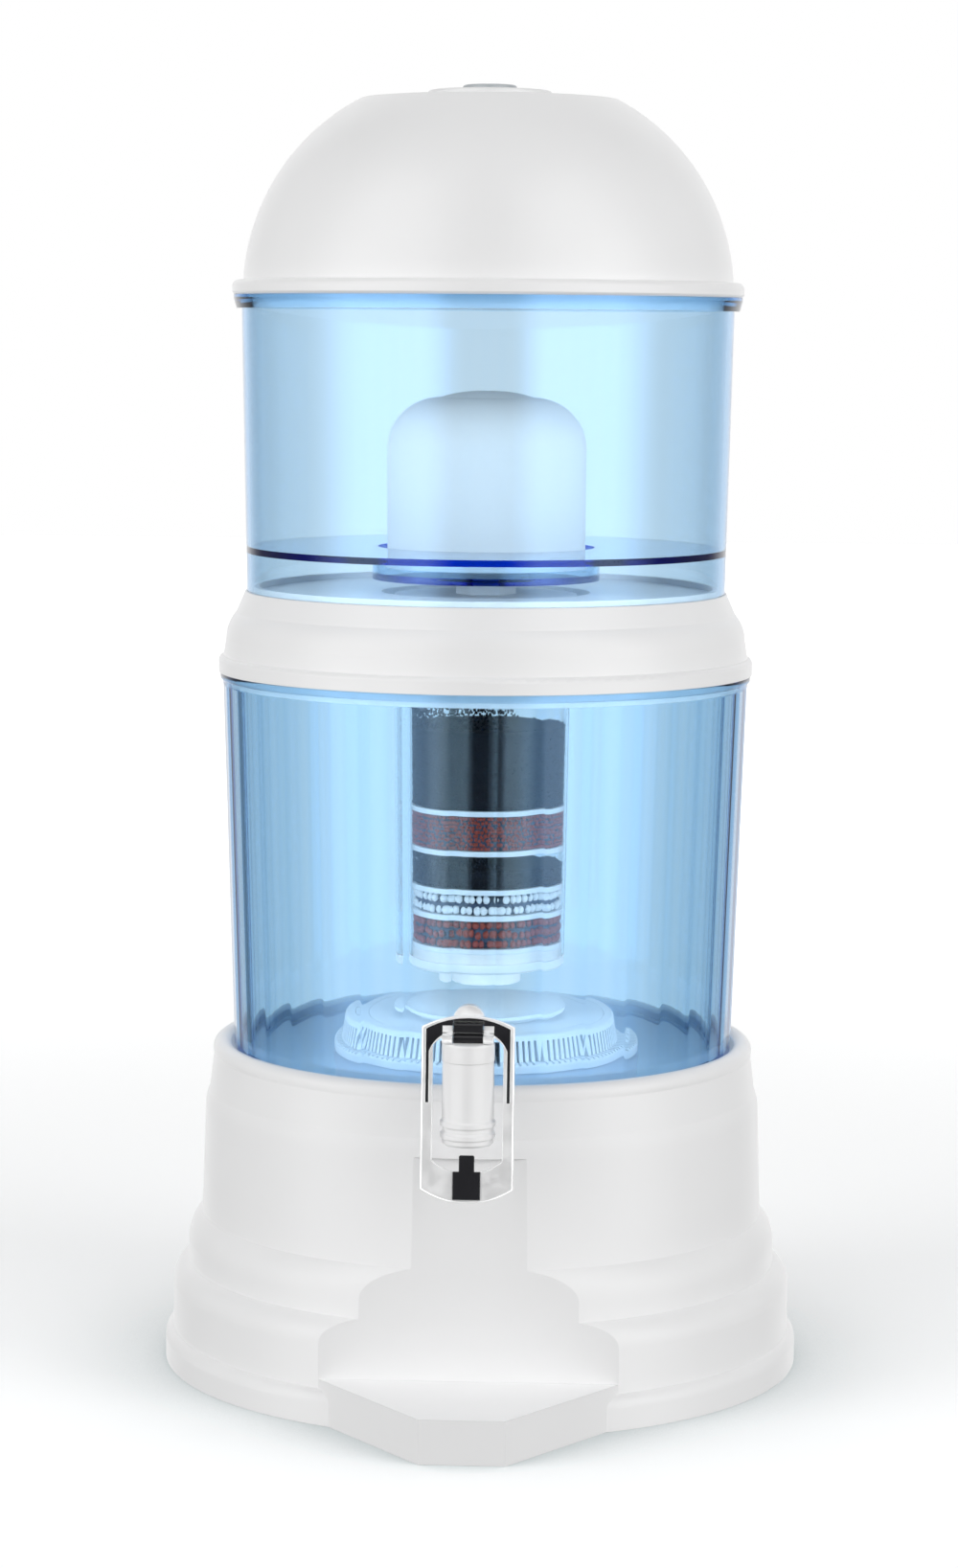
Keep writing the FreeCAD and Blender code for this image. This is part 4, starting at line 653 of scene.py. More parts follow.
def packing_tree():
    """Geometry nodes that stack grains in rows against the wall of a tapered tube, round a core, with a
    painted shade finish on the core and on the grains set back from the wall.
    """
    tree, sketch, given = new_tree("packed_grains", PACKING_INPUTS)
    size, seed, spread = given["Grain Size"], given["Seed"], given["Unevenness"]
    half_size = sketch.times(size, 0.5)
    around = sketch.times(given["Low Radius"], 2 * math.pi)
    per_row = sketch.math("FLOOR", sketch.over(around, size))
    room = sketch.minus(given["Height"], size)
    rows = sketch.math("FLOOR", sketch.over(room, sketch.times(size, ROW_PITCH)))
    pitch = sketch.over(room, rows)
    count = sketch.times(per_row, sketch.plus(rows, 1.0))
    index = sketch.add("GeometryNodeInputIndex").outputs[0]
    row = sketch.math("FLOOR", sketch.over(sketch.plus(index, 0.5), per_row))
    column = sketch.minus(index, sketch.times(row, per_row))
    stagger = sketch.times(sketch.math("MODULO", row, 2.0), 0.5)
    wander = sketch.times(random_value(sketch, -0.5, 0.5, seed, 1), spread)
    steps = sketch.plus(sketch.plus(column, stagger), wander)
    angle = sketch.times(sketch.over(steps, per_row), 2 * math.pi)
    half_rows = sketch.times(rows, 0.5)
    from_middle = sketch.math("ABSOLUTE", sketch.minus(row, half_rows))
    inner = sketch.math("LESS_THAN", from_middle, sketch.minus(half_rows, 0.5))
    hop = sketch.times(random_value(sketch, -0.5, 0.5, seed, 2), spread)
    lift = sketch.times(hop, sketch.times(size, inner))
    level = sketch.plus(sketch.times(row, pitch), half_size)
    rise = sketch.plus(level, lift)
    widening = sketch.minus(given["High Radius"], given["Low Radius"])

    def wall_at(height):
        """Radius of the tube at a height in the bed."""
        share = sketch.over(height, given["Height"])
        return sketch.plus(given["Low Radius"], sketch.times(share, widening))

    wall = wall_at(rise)
    sunk = sketch.times(sketch.times(random_value(sketch, 0.0, 0.5, seed, 3), spread), size)
    reach = sketch.minus(sketch.minus(wall, half_size), sunk)
    place = spot_on_circle(sketch, reach, angle, sketch.plus(given["Low"], rise))
    points = sketch.node("GeometryNodePoints", {"Count": count, "Position": place})
    filled = sketch.minus(1.0, given["Empty Top"])
    position = sketch.add("GeometryNodeInputPosition").outputs[0]
    where = sketch.node("ShaderNodeSeparateXYZ", {"Vector": position})
    bearing = sketch.math("ARCTAN2", where.outputs["Y"], where.outputs["X"])
    slumped = sketch.ramp(sketch.math("COSINE", bearing), SLUMP_SPAN, 0.0, 1.0)
    slump = sketch.times(slumped, given["Slump"])
    surface = sketch.times(sketch.minus(filled, slump), given["Height"])
    height_in_bed = sketch.minus(where.outputs["Z"], given["Low"])
    flat_place = sketch.node("ShaderNodeCombineXYZ", {"X": where.outputs["X"], "Y": where.outputs["Y"]})
    reached = sketch.add("ShaderNodeVectorMath", operation="LENGTH")
    sketch.feed(reached.inputs[0], flat_place.outputs[0])
    # painted shade: the core and the grains set back further than this from the wall get the dark painted
    # shade finish
    painted_shade_radius = sketch.minus(wall_at(height_in_bed), sketch.times(size, PAINTED_SHADE_INSET))
    outward = sketch.math("GREATER_THAN", reached.outputs["Value"], painted_shade_radius)
    over = sketch.math("GREATER_THAN", height_in_bed, surface)
    kept = sketch.node("GeometryNodeDeleteGeometry", {"Geometry": points.outputs[0], "Selection": over})
    grain = sketch.node(
        "GeometryNodeMeshUVSphere",
        {"Radius": half_size, "Segments": given["Segments"], "Rings": given["Rings"]},
    )
    least = sketch.add("ShaderNodeCombineXYZ")
    for axis in "XYZ":
        sketch.feed(least.inputs[axis], given["Least Scale"])
    scale = random_value(sketch, least.outputs[0], (1.0, 1.0, 1.0), seed, 4, "FLOAT_VECTOR")
    full_turn = 2 * math.pi
    spin = random_value(sketch, (0.0, 0.0, 0.0), (full_turn, full_turn, full_turn), seed, 5, "FLOAT_VECTOR")
    placed = sketch.node(
        "GeometryNodeInstanceOnPoints",
        {
            "Points": kept.outputs[0],
            "Instance": grain.outputs["Mesh"],
            "Rotation": spin,
            "Scale": scale,
        },
    )
    core_share = sketch.minus(filled, given["Slump"])
    core_room = sketch.times(given["Height"], core_share)
    core_height = sketch.minus(core_room, sketch.times(size, 2 * CORE_GAP))
    core = sketch.node(
        "GeometryNodeMeshCone",
        {
            "Vertices": CORE_SIDES,
            "Radius Top": sketch.minus(given["High Radius"], sketch.times(size, CORE_INSET)),
            "Radius Bottom": sketch.minus(given["Low Radius"], sketch.times(size, CORE_INSET)),
            "Depth": core_height,
        },
    )
    core_place = sketch.add("ShaderNodeCombineXYZ")
    core_low = sketch.plus(given["Low"], sketch.times(size, CORE_GAP))
    sketch.feed(core_place.inputs["Z"], core_low)
    core_set = sketch.node(
        "GeometryNodeTransform", {"Geometry": core.outputs["Mesh"], "Translation": core_place.outputs[0]}
    )
    joined = sketch.add("GeometryNodeJoinGeometry")
    tree.links.new(placed.outputs[0], joined.inputs[0])
    tree.links.new(core_set.outputs[0], joined.inputs[0])
    end_tree(sketch, joined.outputs[0], given["Finish"], outward, given["Painted Shade Finish"])
    return tree


def end_tree(sketch, geometry, finish, selection=True, painted_shade_finish=None):
    """Realizes a tree's instances, gives them their finish, or a painted shade finish where a selection
    leaves them out, and hands them out.
    """
    realized = sketch.node("GeometryNodeRealizeInstances", {"Geometry": geometry}).outputs[0]
    # painted shade: every grain first takes the dark painted shade finish, then the selection takes its own
    if painted_shade_finish is not None:
        rest = sketch.node("GeometryNodeSetMaterial", {"Geometry": realized, "Material": painted_shade_finish})
        realized = rest.outputs[0]
    finished = sketch.node(
        "GeometryNodeSetMaterial", {"Geometry": realized, "Material": finish, "Selection": selection}
    )
    result = sketch.add("NodeGroupOutput")
    sketch.tree.links.new(finished.outputs[0], result.inputs[0])


def input_names(tree):
    """Identifiers of a tree's inputs by their names."""
    return {item.name: item.identifier for item in tree.interface.items_tree if item.in_out == "INPUT"}


def grown(name, tree, values):
    """Plain mesh object of what a geometry nodes tree makes from its inputs."""
    seedling = new_object(name + "_seedling", bpy.data.meshes.new(name + "_seedling"))
    modifier = seedling.modifiers.new(name, "NODES")
    modifier.node_group = tree
    identifiers = input_names(tree)
    for label, value in values.items():
        modifier[identifiers[label]] = value
    mesh = shaped_mesh(seedling)
    bpy.data.objects.remove(seedling)
    mesh.name = name
    return new_object(name, mesh)


CARBON_GRAINS = {"Unevenness": 0.8, "Segments": 5, "Rings": 4, "Least Scale": 0.6}
FINE_BEADS = {"Unevenness": 0.5, "Segments": 7, "Rings": 5, "Least Scale": 0.85}
COARSE_BEADS = {"Unevenness": 0.4, "Segments": 8, "Rings": 6, "Least Scale": 0.86}
UPPER_EMPTY_TOP = 0.4
UPPER_SLUMP = 0.2
LOWER_SLUMP = 0.46
WHITE_EMPTY_TOP = 0.2


def fill_bed(tree, node_name, piece_name, finish_name, slot, size, grains, empty_top=0.0, slump=0.0):
    """Replaces one bed of the cartridge with stacked grains."""
    node = NODES[node_name]
    low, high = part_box(node_name)
    piece = grown(
        piece_name,
        tree,
        {
            "Low": low.z,
            "Height": high.z - low.z,
            "Low Radius": end_radius(node, low.z),
            "High Radius": end_radius(node, high.z),
            "Grain Size": size,
            "Empty Top": empty_top,
            "Slump": slump,
            "Seed": bpy.context.scene.filter_media.seed,
            "Finish": finish_of(finish_name),
            # painted shade: beads set back from the wall get a dark painted shade finish; carbon keeps its
            # own finish
            "Painted Shade Finish": finish_of("carbon" if grains is CARBON_GRAINS else "painted_bead_shade"),
            **grains,
        },
    )
    if grains is CARBON_GRAINS:
        piece.data.shade_flat()
    else:
        piece.data.shade_smooth()
    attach(piece, "upper_vessel")
    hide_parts(node_name)


# Lower tank


TANK_INPUTS = {
    "Float": (
        "Base",
        "Top",
        "Edge Radius",
        "Neck Radius",
        "Ring Radius",
        "Edge",
        "Neck Height",
        "Ring Height",
        "Wall",
        "Floor",
        "Rim Softness",
        "Facets",
        "Corner Softness",
    ),
    "Material": ("Finish",),
}
COLUMNS_PER_FACET = 8
CORNER_CROWDING = 2.2
FLOOR_ARC_STEPS = 4
MERGE_REACH = 0.01 * MILLIMETRE


def tank_rows(sketch, given, flat_share):
    """Radius, height and faceting of each ring of points, from under the floor, over the rim, to inside."""
    base, top, soft = given["Base"], given["Top"], given["Rim Softness"]
    edge_z = sketch.plus(base, given["Edge"])
    ring_z = sketch.minus(top, given["Ring Height"])
    facet_top = sketch.minus(ring_z, given["Neck Height"])
    floor_z = sketch.plus(base, given["Floor"])
    corner_z = sketch.plus(floor_z, given["Edge"])
    run = sketch.minus(given["Neck Radius"], given["Edge Radius"])
    slope = sketch.over(run, sketch.minus(facet_top, edge_z))

    def outer(height):
        """Radius of the outer corners at a height."""
        rise = sketch.minus(height, edge_z)
        return sketch.plus(given["Edge Radius"], sketch.times(rise, slope))

    def bore(height):
        """Inner radius at a height."""
        return sketch.minus(sketch.times(outer(height), flat_share), given["Wall"])

    top_bore = bore(top)
    ring_in = sketch.minus(given["Ring Radius"], soft)
    soft_top = sketch.minus(top, soft)
    below_rim = sketch.minus(soft_top, soft)
    above_edge = sketch.plus(edge_z, soft)
    below_neck = sketch.minus(facet_top, soft)
    above_floor = sketch.plus(corner_z, soft)
    low_bore = bore(corner_z)
    rows = [
        (0.0, base, False),
        (sketch.minus(outer(base), given["Edge"]), base, True),
        (given["Edge Radius"], edge_z, True),
        (outer(above_edge), above_edge, True),
        (outer(below_neck), below_neck, True),
        (given["Neck Radius"], facet_top, True),
        (given["Neck Radius"], facet_top, False),
        (outer(ring_z), ring_z, False),
        (ring_in, ring_z, False),
        (given["Ring Radius"], sketch.plus(ring_z, soft), False),
        (given["Ring Radius"], soft_top, False),
        (ring_in, top, False),
        (sketch.plus(top_bore, soft), top, False),
        (top_bore, soft_top, False),
        (bore(below_rim), below_rim, False),
        (bore(above_floor), above_floor, False),
    ]
    for step in range(FLOOR_ARC_STEPS + 1):
        angle = math.pi / 2 * step / FLOOR_ARC_STEPS
        inward = sketch.times(given["Edge"], 1 - math.cos(angle))
        down = sketch.times(given["Edge"], math.sin(angle))
        rows.append((sketch.minus(low_bore, inward), sketch.minus(corner_z, down), False))
    rows.append((0.0, floor_z, False))
    return rows


def by_row(sketch, row, values):
    """Picks one value for each row."""
    switch = sketch.add("GeometryNodeIndexSwitch", data_type="FLOAT")
    while len(switch.index_switch_items) < len(values):
        switch.index_switch_items.new()
    sketch.feed(switch.inputs[0], row)
    for number, value in enumerate(values):
        sketch.feed(switch.inputs[number + 1], value)
    return switch.outputs[0]


def tank_tree():
    """Geometry nodes that make a tank with softened flats outside, a round bore and a rim."""
    tree, sketch, given = new_tree("faceted_tank", TANK_INPUTS)
    half_facet = sketch.over(math.pi, given["Facets"])
    flat_share = sketch.math("COSINE", half_facet)
    rows = tank_rows(sketch, given, flat_share)
    columns = sketch.times(given["Facets"], float(COLUMNS_PER_FACET))
    sheet = sketch.node(
        "GeometryNodeMeshGrid",
        {"Vertices X": sketch.plus(columns, 1.0), "Vertices Y": len(rows)},
    )
    index = sketch.add("GeometryNodeInputIndex").outputs[0]
    column = sketch.math("FLOOR", sketch.over(sketch.plus(index, 0.5), float(len(rows))))
    row = sketch.minus(index, sketch.times(column, float(len(rows))))
    facet = sketch.math("FLOOR", sketch.over(sketch.plus(column, 0.5), float(COLUMNS_PER_FACET)))
    step = sketch.minus(column, sketch.times(facet, float(COLUMNS_PER_FACET)))
    even = sketch.minus(sketch.times(step, 2.0 / COLUMNS_PER_FACET), 1.0)
    to_corner = sketch.minus(1.0, sketch.math("ABSOLUTE", even))
    crowded = sketch.minus(1.0, sketch.math("POWER", to_corner, CORNER_CROWDING))
    from_middle = sketch.times(sketch.math("SIGN", even), crowded)
    middle = sketch.times(half_facet, sketch.plus(sketch.times(facet, 2.0), 2.0))
    angle = sketch.plus(middle, sketch.times(half_facet, from_middle))
    angle = sketch.minus(angle, math.pi / 2)
    soft = given["Corner Softness"]
    soft_square = sketch.times(soft, soft)
    left = sketch.minus(1.0, crowded)
    blunt = sketch.math("SQRT", sketch.plus(sketch.times(left, left), soft_square))
    whole = sketch.math("SQRT", sketch.plus(1.0, soft_square))
    rounded = sketch.times(half_facet, sketch.minus(whole, blunt))
    flat = sketch.over(flat_share, sketch.math("COSINE", rounded))
    faceted = by_row(sketch, row, [float(is_flat) for _, _, is_flat in rows])
    share = sketch.plus(1.0, sketch.times(faceted, sketch.minus(flat, 1.0)))
    reach = sketch.times(by_row(sketch, row, [radius for radius, _, _ in rows]), share)
    place = spot_on_circle(sketch, reach, angle, by_row(sketch, row, [height for _, height, _ in rows]))
    bent = sketch.node("GeometryNodeSetPosition", {"Geometry": sheet.outputs["Mesh"], "Position": place})
    seam = {"Geometry": bent.outputs[0], "Distance": MERGE_REACH}
    closed = sketch.node("GeometryNodeMergeByDistance", seam)
    end_tree(sketch, closed.outputs[0], given["Finish"])
    return tree


def face_outwards(mesh):
    """Merges doubled points and turns every face outwards."""
    shape = bmesh.new()
    shape.from_mesh(mesh)
    bmesh.ops.remove_doubles(shape, verts=shape.verts, dist=MERGE_REACH / 10)
    bmesh.ops.recalc_face_normals(shape, faces=shape.faces)
    shape.to_mesh(mesh)
    shape.free()


BAR_SIDES = 72


def bar_along_y(radius, low_y, high_y, height):
    """Round bar that runs front to back, used to add to or cut another piece."""
    shape = bmesh.new()
    centre = Matrix.Translation((0, (low_y + high_y) / 2, height)) @ Matrix.Rotation(math.pi / 2, 4, "X")
    bmesh.ops.create_cone(
        shape,
        cap_ends=True,
        segments=BAR_SIDES,
        radius1=radius,
        radius2=radius,
        depth=high_y - low_y,
        matrix=centre,
    )
    mesh = bpy.data.meshes.new("bar")
    shape.to_mesh(mesh)
    shape.free()
    return new_object("bar", mesh)


def settle(piece):
    """Turns a piece's modifiers into its plain mesh."""
    mesh = shaped_mesh(piece)
    piece.modifiers.clear()
    piece.data = mesh


def combine(piece, tool, operation):
    """Adds a tool to a piece or cuts it away, and removes the tool."""
    step = piece.modifiers.new(operation, "BOOLEAN")
    step.operation = operation
    step.solver = "EXACT"
    step.object = tool
    settle(piece)
    bpy.data.objects.remove(tool)


SMOOTH_LIMIT = math.radians(50.0)


def shade(piece):
    """Smooth shading that stops at sharp edges."""
    piece.data.shade_smooth()
    piece.data.set_sharp_from_angle(angle=SMOOTH_LIMIT)


def make_lower_tank(sizes):
    """Lower tank with its flats, the pad for the tap and the hole through it."""
    node = NODES["lower_tank"]
    low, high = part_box("lower_tank")
    facet_top = high.z - sizes.ring_height - sizes.neck_height
    edge_radius = end_radius(node, low.z + sizes.edge)
    neck_radius = end_radius(node, facet_top)
    piece = grown(
        "lower_tank_shell",
        tank_tree(),
        {
            "Base": low.z,
            "Top": high.z,
            "Edge Radius": edge_radius,
            "Neck Radius": neck_radius,
            "Ring Radius": end_radius(node, high.z),
            "Edge": sizes.edge,
            "Neck Height": sizes.neck_height,
            "Ring Height": sizes.ring_height,
            "Wall": sizes.wall,
            "Floor": sizes.floor,
            "Rim Softness": sizes.rim_softness,
            "Facets": float(sizes.facets),
            "Corner Softness": sizes.corner_softness,
            "Finish": finish_of("blue_lower_tank"),
        },
    )
    face_outwards(piece.data)
    washer_low, washer_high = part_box("tap_front_washer")
    nut_low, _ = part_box("tap_inner_washer")
    shank_z = (washer_low.z + washer_high.z) / 2
    pad_front, pad_back = washer_high.y, nut_low.y
    overrun = sizes.wall
    combine(piece, bar_along_y(sizes.pad_radius, pad_front, pad_back, shank_z), "UNION")
    cutter = bar_along_y(sizes.hole_radius, pad_front - overrun, pad_back + overrun, shank_z)
    combine(piece, cutter, "DIFFERENCE")
    face_outwards(piece.data)
    shade(piece)
    return piece


# Return spring


def make_return_spring():
    """Spring in the tap: a merged, smooth-shaded copy of the frame's spring that stands in for it."""
    shape = bmesh.new()
    shape.from_mesh(NODES["tap_spring"].data)
    bmesh.ops.remove_doubles(shape, verts=shape.verts, dist=MERGE_REACH / 10)
    shape.verts.index_update()
    points = [vertex.co.copy() for vertex in shape.verts]
    faces = [[vertex.index for vertex in face.verts] for face in shape.faces]
    shape.free()
    mesh = bpy.data.meshes.new("return_spring")
    mesh.from_pydata(points, [], faces)
    mesh.materials.append(finish_of("bright_steel"))
    piece = new_object("return_spring", mesh)
    shade(piece)
    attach(piece, "stand_and_tank")
    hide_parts("tap_spring")
    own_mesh(piece)


# Operators


class FILTER_OT_white_mouldings(bpy.types.Operator):
    """Finish the stand, collar, lid and knob"""

    bl_idname = "water_filter.white_mouldings"
    bl_label = "White Mouldings"

    def execute(self, context):
        dress("white_moulding", "base_stand", "tank_collar", "lid_dome", "lid_knob")
        dress("grey_insert", "knob_insert")
        dress("bright_steel", "knob_screw", "knob_washer")
        return {"FINISHED"}


class FILTER_OT_tanks(bpy.types.Operator):
    """Finish the two see-through tanks"""

    bl_idname = "water_filter.tanks"
    bl_label = "Tanks"

    def execute(self, context):
        dress("blue_tank", "upper_tank")
        shell = make_lower_tank(context.scene.filter_tank)
        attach(shell, "stand_and_tank")
        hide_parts("lower_tank")
        let_light_in(shell, NODES["upper_tank"])
        return {"FINISHED"}


class FILTER_OT_ceramic_filter(bpy.types.Operator):
    """Finish the ceramic filter in the upper tank"""

    bl_idname = "water_filter.ceramic_filter"
    bl_label = "Ceramic Filter"

    def execute(self, context):
        dress("candle_ceramic", "ceramic_dome")
        dress("pale_moulding", "ceramic_plate", "filter_nut")
        dress("seal_rubber", "ceramic_seal")
        return {"FINISHED"}


class FILTER_OT_cartridge_case(bpy.types.Operator):
    """Finish the cartridge's cap, tube, discs and outlet"""

    bl_idname = "water_filter.cartridge_case"
    bl_label = "Cartridge Case"

    def execute(self, context):
        discs = [name for name in NODES if name.startswith("cartridge_separator")]
        dress("pale_moulding", "cartridge_cap", *discs)
        dress("clear_tube", "cartridge_shell")
        dress("milky_outlet", "cartridge_outlet")
        let_light_in(NODES["cartridge_shell"], NODES["cartridge_outlet"])
        dress("seal_rubber", "cartridge_gasket")
        return {"FINISHED"}


class FILTER_OT_cartridge_beds(bpy.types.Operator):
    """Fill the cartridge with granules and beads"""

    bl_idname = "water_filter.cartridge_beds"
    bl_label = "Cartridge Beds"

    def execute(self, context):
        media = context.scene.filter_media
        tree = packing_tree()
        carbon = ("carbon", "carbon_granules", media.granule_size, CARBON_GRAINS)
        fine = ("red_bead", "red_ceramic_beads", media.fine_bead_size, FINE_BEADS)
        coarse = ("red_bead", "red_ceramic_beads", media.coarse_bead_size, COARSE_BEADS)
        white = ("white_bead", "white_ceramic_beads", media.white_bead_size, COARSE_BEADS)
        fill_bed(tree, "upper_carbon_bed", "upper_carbon_granules", *carbon, UPPER_EMPTY_TOP, UPPER_SLUMP)
        fill_bed(tree, "lower_carbon_bed", "lower_carbon_granules", *carbon, slump=LOWER_SLUMP)
        fill_bed(tree, "fine_red_beads", "fine_red_bead_layer", *fine)
        fill_bed(tree, "coarse_red_beads", "coarse_red_bead_layer", *coarse)
        fill_bed(tree, "white_beads", "white_bead_layer", *white, WHITE_EMPTY_TOP)
        return {"FINISHED"}


class FILTER_OT_stone_case(bpy.types.Operator):
    """Finish the mineral stone case and its stones"""

    bl_idname = "water_filter.stone_case"
    bl_label = "Stone Case"

    def execute(self, context):
        dress("pale_moulding", "mineral_case", "case_lid")
        dress("river_stone", "mineral_stones")
        return {"FINISHED"}


class FILTER_OT_push_tap(bpy.types.Operator):
    """Finish the push tap"""

    bl_idname = "water_filter.push_tap"
    bl_label = "Push Tap"

    def execute(self, context):
        dress("white_moulding", "tap_body", "tap_bonnet")
        dress("pale_moulding", "tap_lock_nut", "tap_stem")
        dress("seal_rubber", "tap_front_washer", "tap_inner_washer", "tap_seat_cup")
        dress("bright_steel", "tap_pivot_pin")
        make_return_spring()
        dress("black_gloss", "tap_head", "lever_inlay", "push_pad")
        dress("chrome", "tap_lever", "tap_head_cap")
        return {"FINISHED"}


CAMERA_AZIMUTH = math.radians(2.25)
CAMERA_DISTANCE = 1.771
CAMERA_HEIGHT = 0.479
CAMERA_PITCH = math.radians(6.75)
CAMERA_YAW = math.atan(5.7 / 4000.0)
CAMERA_ROLL = math.radians(0.449)
CAMERA_LENS = 87.97
CAMERA_SIGHT = 100.0
SENSOR_WIDTH = 36.0


def add_camera():
    """Camera at the height and angle from which the filter is seen."""
    lens = bpy.data.cameras.new("studio_camera")
    lens.lens = CAMERA_LENS
    lens.sensor_width = SENSOR_WIDTH
    lens.clip_end = CAMERA_SIGHT
    camera = new_object("studio_camera", lens)
    spot = Vector((
        CAMERA_DISTANCE * math.sin(CAMERA_AZIMUTH),
        -CAMERA_DISTANCE * math.cos(CAMERA_AZIMUTH),
        CAMERA_HEIGHT,
    ))
    camera.matrix_world = (
        Matrix.Translation(spot)
        @ Matrix.Rotation(CAMERA_AZIMUTH + CAMERA_YAW, 4, "Z")
        @ Matrix.Rotation(math.pi / 2 - CAMERA_PITCH, 4, "X")
        @ Matrix.Rotation(CAMERA_ROLL, 4, "Z")
    )
    bpy.context.scene.camera = camera


FLOOR_LIFT = 0.27
FAR_LIFT = 0.8
FAR_SPAN = (0.4, 2.2)
CONTACT_REACH = 0.14
CONTACT_SPAN = (0.35, 1.0)
CONTACT_TONE = (0.6, 0.66, 0.67)
CONTACT_SAMPLES = 8
FLOOR_DARK = (0.865, 0.87, 0.872)
FLOOR_LIGHT = (0.87, 0.875, 0.877)


def add_floor(width):
    """Pale floor with a soft shadow where the filter stands on it, brighter further out."""
    half = width / 2
    corners = [(-half, -half, 0), (half, -half, 0), (half, half, 0), (-half, half, 0)]
    mesh = bpy.data.meshes.new("floor")
    mesh.from_pydata(corners, [], [(0, 1, 2, 3)])
    floor = new_object("floor", mesh)
    finish, sketch, shader, _, place = new_finish("pale_floor")
    mottle = noise(sketch, place, scale=3.0)
    # painted shadow: ambient occlusion darkens the floor's colour near the filter
    nearness = sketch.node("ShaderNodeAmbientOcclusion", {"Distance": CONTACT_REACH}, samples=CONTACT_SAMPLES)
    open_sky = sketch.ramp(nearness.outputs["AO"], CONTACT_SPAN, 0.0, 1.0)
    pale = tone(sketch, mottle, FLOOR_DARK, FLOOR_LIGHT)
    shadowed = sketch.add("ShaderNodeMix", data_type="RGBA")
    sketch.feed(shadowed.inputs["Factor"], open_sky)
    sketch.feed(shadowed.inputs["A"], (*CONTACT_TONE, 1.0))
    sketch.feed(shadowed.inputs["B"], pale)
    sketch.feed(shader.inputs["Base Color"], shadowed.outputs["Result"])
    sketch.feed(shader.inputs["Roughness"], sketch.between(mottle, 0.7, 0.8))
    shader.inputs["Specular IOR Level"].default_value = 0.2
    mesh.materials.append(finish)
    # painted light: the floor glows, dimmer in the painted shadow and brighter further out
    shader.inputs["Emission Color"].default_value = (1.0, 1.0, 1.0, 1.0)
    distance = sketch.add("ShaderNodeVectorMath", operation="LENGTH")
    sketch.feed(distance.inputs[0], place)
    lift = sketch.ramp(distance.outputs["Value"], FAR_SPAN, FLOOR_LIFT, FAR_LIFT)
    sketch.feed(shader.inputs["Emission Strength"], sketch.times(open_sky, lift))
    floor.visible_diffuse = False
    floor.visible_glossy = False
    floor.visible_transmission = False


BACKDROP_GLOW = 1.0
GAP_EDGE = (0.2, 0.52)
BOX_FADE = (1.05, 1.65)
BACKDROP_EDGE = (2.3, 2.75)
BOX_TOP = (0.75, 0.95)
HORIZON = (-0.15, 0.15)


def add_surround(stage):
    """White backdrop, two soft boxes with a darker gap at the front, and soft light from above and below."""
    world = bpy.data.worlds.new("studio_surround")
    world.use_nodes = True
    bpy.context.scene.world = world
    tree = world.node_tree
    tree.nodes.clear()
    sketch = Sketch(tree)
    direction = sketch.add("ShaderNodeTexCoord").outputs["Generated"]
    parts = sketch.node("ShaderNodeSeparateXYZ", {"Vector": direction})
    side = sketch.math("ABSOLUTE", parts.outputs["X"])
    toward = sketch.times(parts.outputs["Y"], -1.0)
    bearing = sketch.math("ARCTAN2", side, toward)
    box_glow = sketch.ramp(bearing, GAP_EDGE, stage.gap_glow, stage.soft_box_glow)
    front = sketch.blend(sketch.ramp(bearing, BOX_FADE, 0.0, 1.0), box_glow, stage.side_glow)
    behind = sketch.ramp(bearing, BACKDROP_EDGE, 0.0, 1.0)
    above = sketch.ramp(parts.outputs["Z"], BOX_TOP, 0.0, 1.0)
    mirrored = sketch.blend(sketch.math("MAXIMUM", behind, above), front, BACKDROP_GLOW)
    soft = sketch.ramp(parts.outputs["Z"], HORIZON, stage.lower_light, stage.upper_light)
    path = sketch.add("ShaderNodeLightPath")
    not_camera = sketch.blend(path.outputs["Is Diffuse Ray"], mirrored, soft)
    strength = sketch.blend(path.outputs["Is Camera Ray"], not_camera, BACKDROP_GLOW)
    background = sketch.node("ShaderNodeBackground", {"Strength": strength})
    background.inputs["Color"].default_value = (1.0, 1.0, 1.0, 1.0)
    output = sketch.add("ShaderNodeOutputWorld")
    tree.links.new(background.outputs[0], output.inputs["Surface"])


LAMP_SPOT = (1.85, -0.95, 0.68)
LAMP_TARGET = (0, 0, 0.45)
LAMP_WIDTH = 1.2


def add_soft_light(name, spot, target, width, power):
    """Large square soft light aimed at a point."""
    data = bpy.data.lights.new(name, "AREA")
    data.shape = "SQUARE"
    data.size = width
    data.energy = power
    lamp = new_object(name, data)
    aim = Vector(target) - Vector(spot)
    lamp.matrix_world = Matrix.Translation(spot) @ aim.to_track_quat("-Z", "Y").to_matrix().to_4x4()
    lamp.visible_glossy = False
    lamp.visible_transmission = False


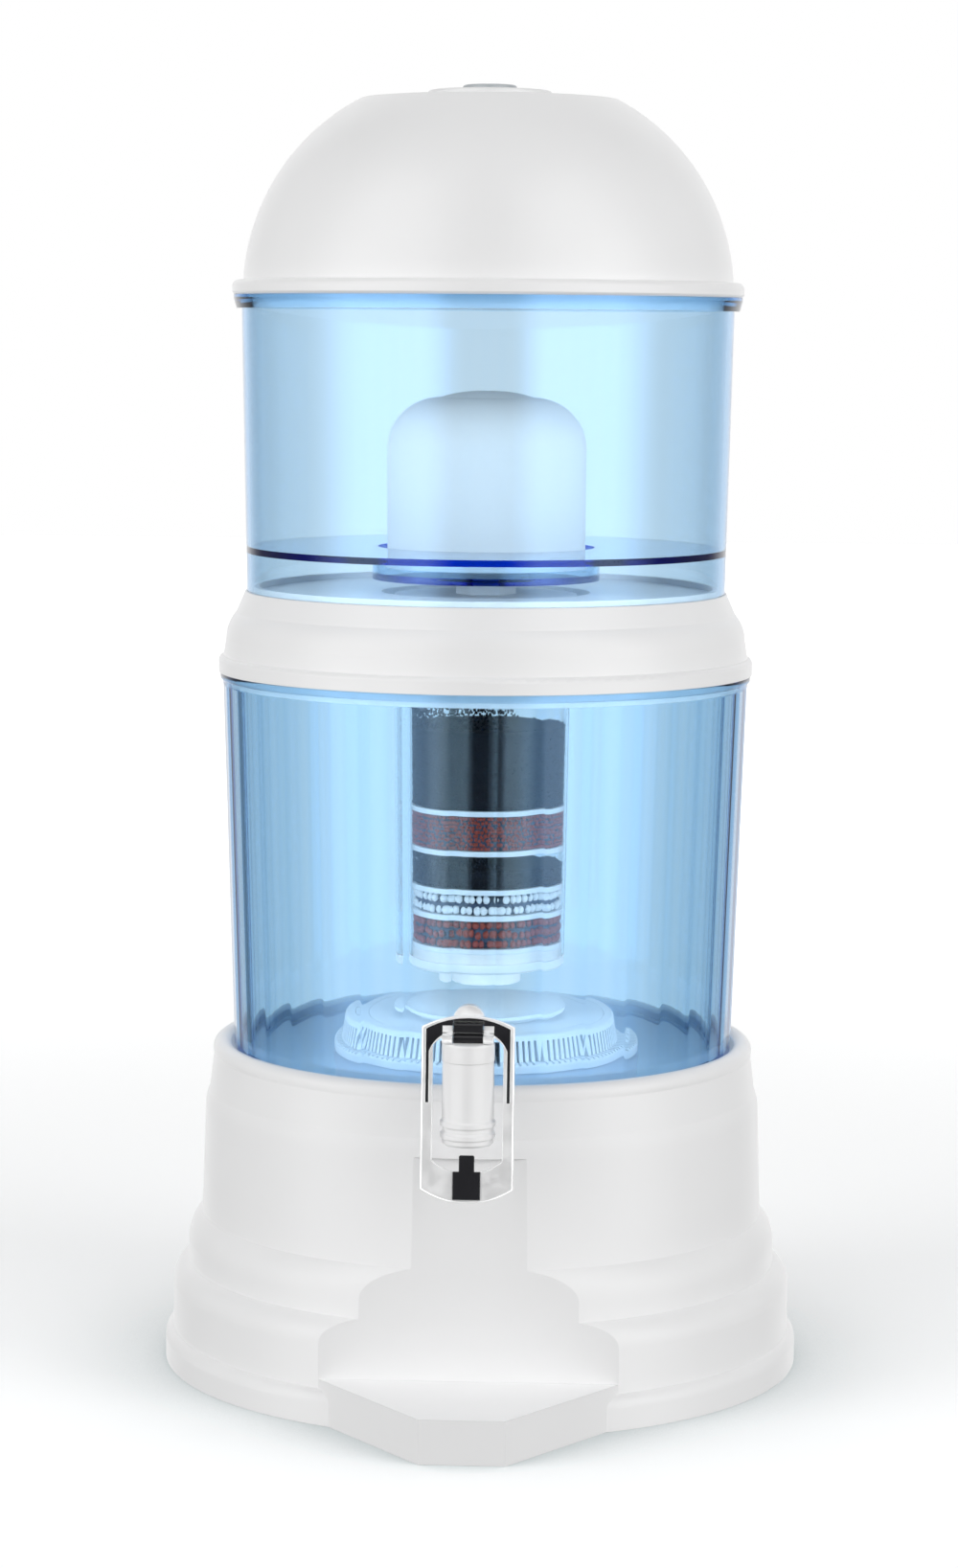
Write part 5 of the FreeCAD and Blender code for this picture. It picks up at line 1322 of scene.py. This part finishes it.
class FILTER_OT_stage(bpy.types.Operator):
    """Set out the floor, light and camera"""

    bl_idname = "water_filter.stage"
    bl_label = "Stage"

    def execute(self, context):
        stage = context.scene.filter_stage
        add_floor(stage.floor_width)
        add_surround(stage)
        for name, side in (("left_soft_light", -1), ("right_soft_light", 1)):
            spot = (side * LAMP_SPOT[0], LAMP_SPOT[1], LAMP_SPOT[2])
            add_soft_light(name, spot, LAMP_TARGET, LAMP_WIDTH, stage.side_light)
        add_camera()
        view = context.scene.view_settings
        view.view_transform = "Standard"
        view.look = "None"
        cycles = context.scene.cycles
        cycles.max_bounces = 24
        cycles.transmission_bounces = 24
        cycles.glossy_bounces = 8
        cycles.diffuse_bounces = 6
        cycles.transparent_max_bounces = 16
        return {"FINISHED"}


class FILTER_PT_sidebar(bpy.types.Panel):
    """Lists the filter's settings and pieces"""

    bl_idname = "FILTER_PT_sidebar"
    bl_label = "Water Filter"
    bl_space_type = "VIEW_3D"
    bl_region_type = "UI"
    bl_category = "Water Filter"

    def draw(self, context):
        scene = context.scene
        for group in (scene.filter_finishes, scene.filter_media, scene.filter_tank, scene.filter_stage):
            box = self.layout.box()
            for name in group.__annotations__:
                box.prop(group, name)
        for operator in PIECE_OPERATORS:
            self.layout.operator(operator.bl_idname)


PIECE_OPERATORS = (
    FILTER_OT_white_mouldings,
    FILTER_OT_tanks,
    FILTER_OT_ceramic_filter,
    FILTER_OT_cartridge_case,
    FILTER_OT_cartridge_beds,
    FILTER_OT_stone_case,
    FILTER_OT_push_tap,
    FILTER_OT_stage,
)
CLASSES = (FilterFinishes, FilterMedia, FilterTank, FilterStage) + PIECE_OPERATORS + (FILTER_PT_sidebar,)


def register():
    """Adds the filter's settings, operators and panel."""
    for item in CLASSES:
        bpy.utils.register_class(item)
    scene = bpy.types.Scene
    scene.filter_finishes = bpy.props.PointerProperty(type=FilterFinishes)
    scene.filter_media = bpy.props.PointerProperty(type=FilterMedia)
    scene.filter_tank = bpy.props.PointerProperty(type=FilterTank)
    scene.filter_stage = bpy.props.PointerProperty(type=FilterStage)


def unregister():
    """Takes them away again."""
    scene = bpy.types.Scene
    del scene.filter_stage
    del scene.filter_tank
    del scene.filter_media
    del scene.filter_finishes
    for item in reversed(CLASSES):
        bpy.utils.unregister_class(item)


def main():
    """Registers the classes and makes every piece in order."""
    register()
    bpy.ops.water_filter.white_mouldings()
    bpy.ops.water_filter.tanks()
    bpy.ops.water_filter.ceramic_filter()
    bpy.ops.water_filter.cartridge_case()
    bpy.ops.water_filter.cartridge_beds()
    bpy.ops.water_filter.stone_case()
    bpy.ops.water_filter.push_tap()
    bpy.ops.water_filter.stage()


if __name__ == "__main__":
    main()
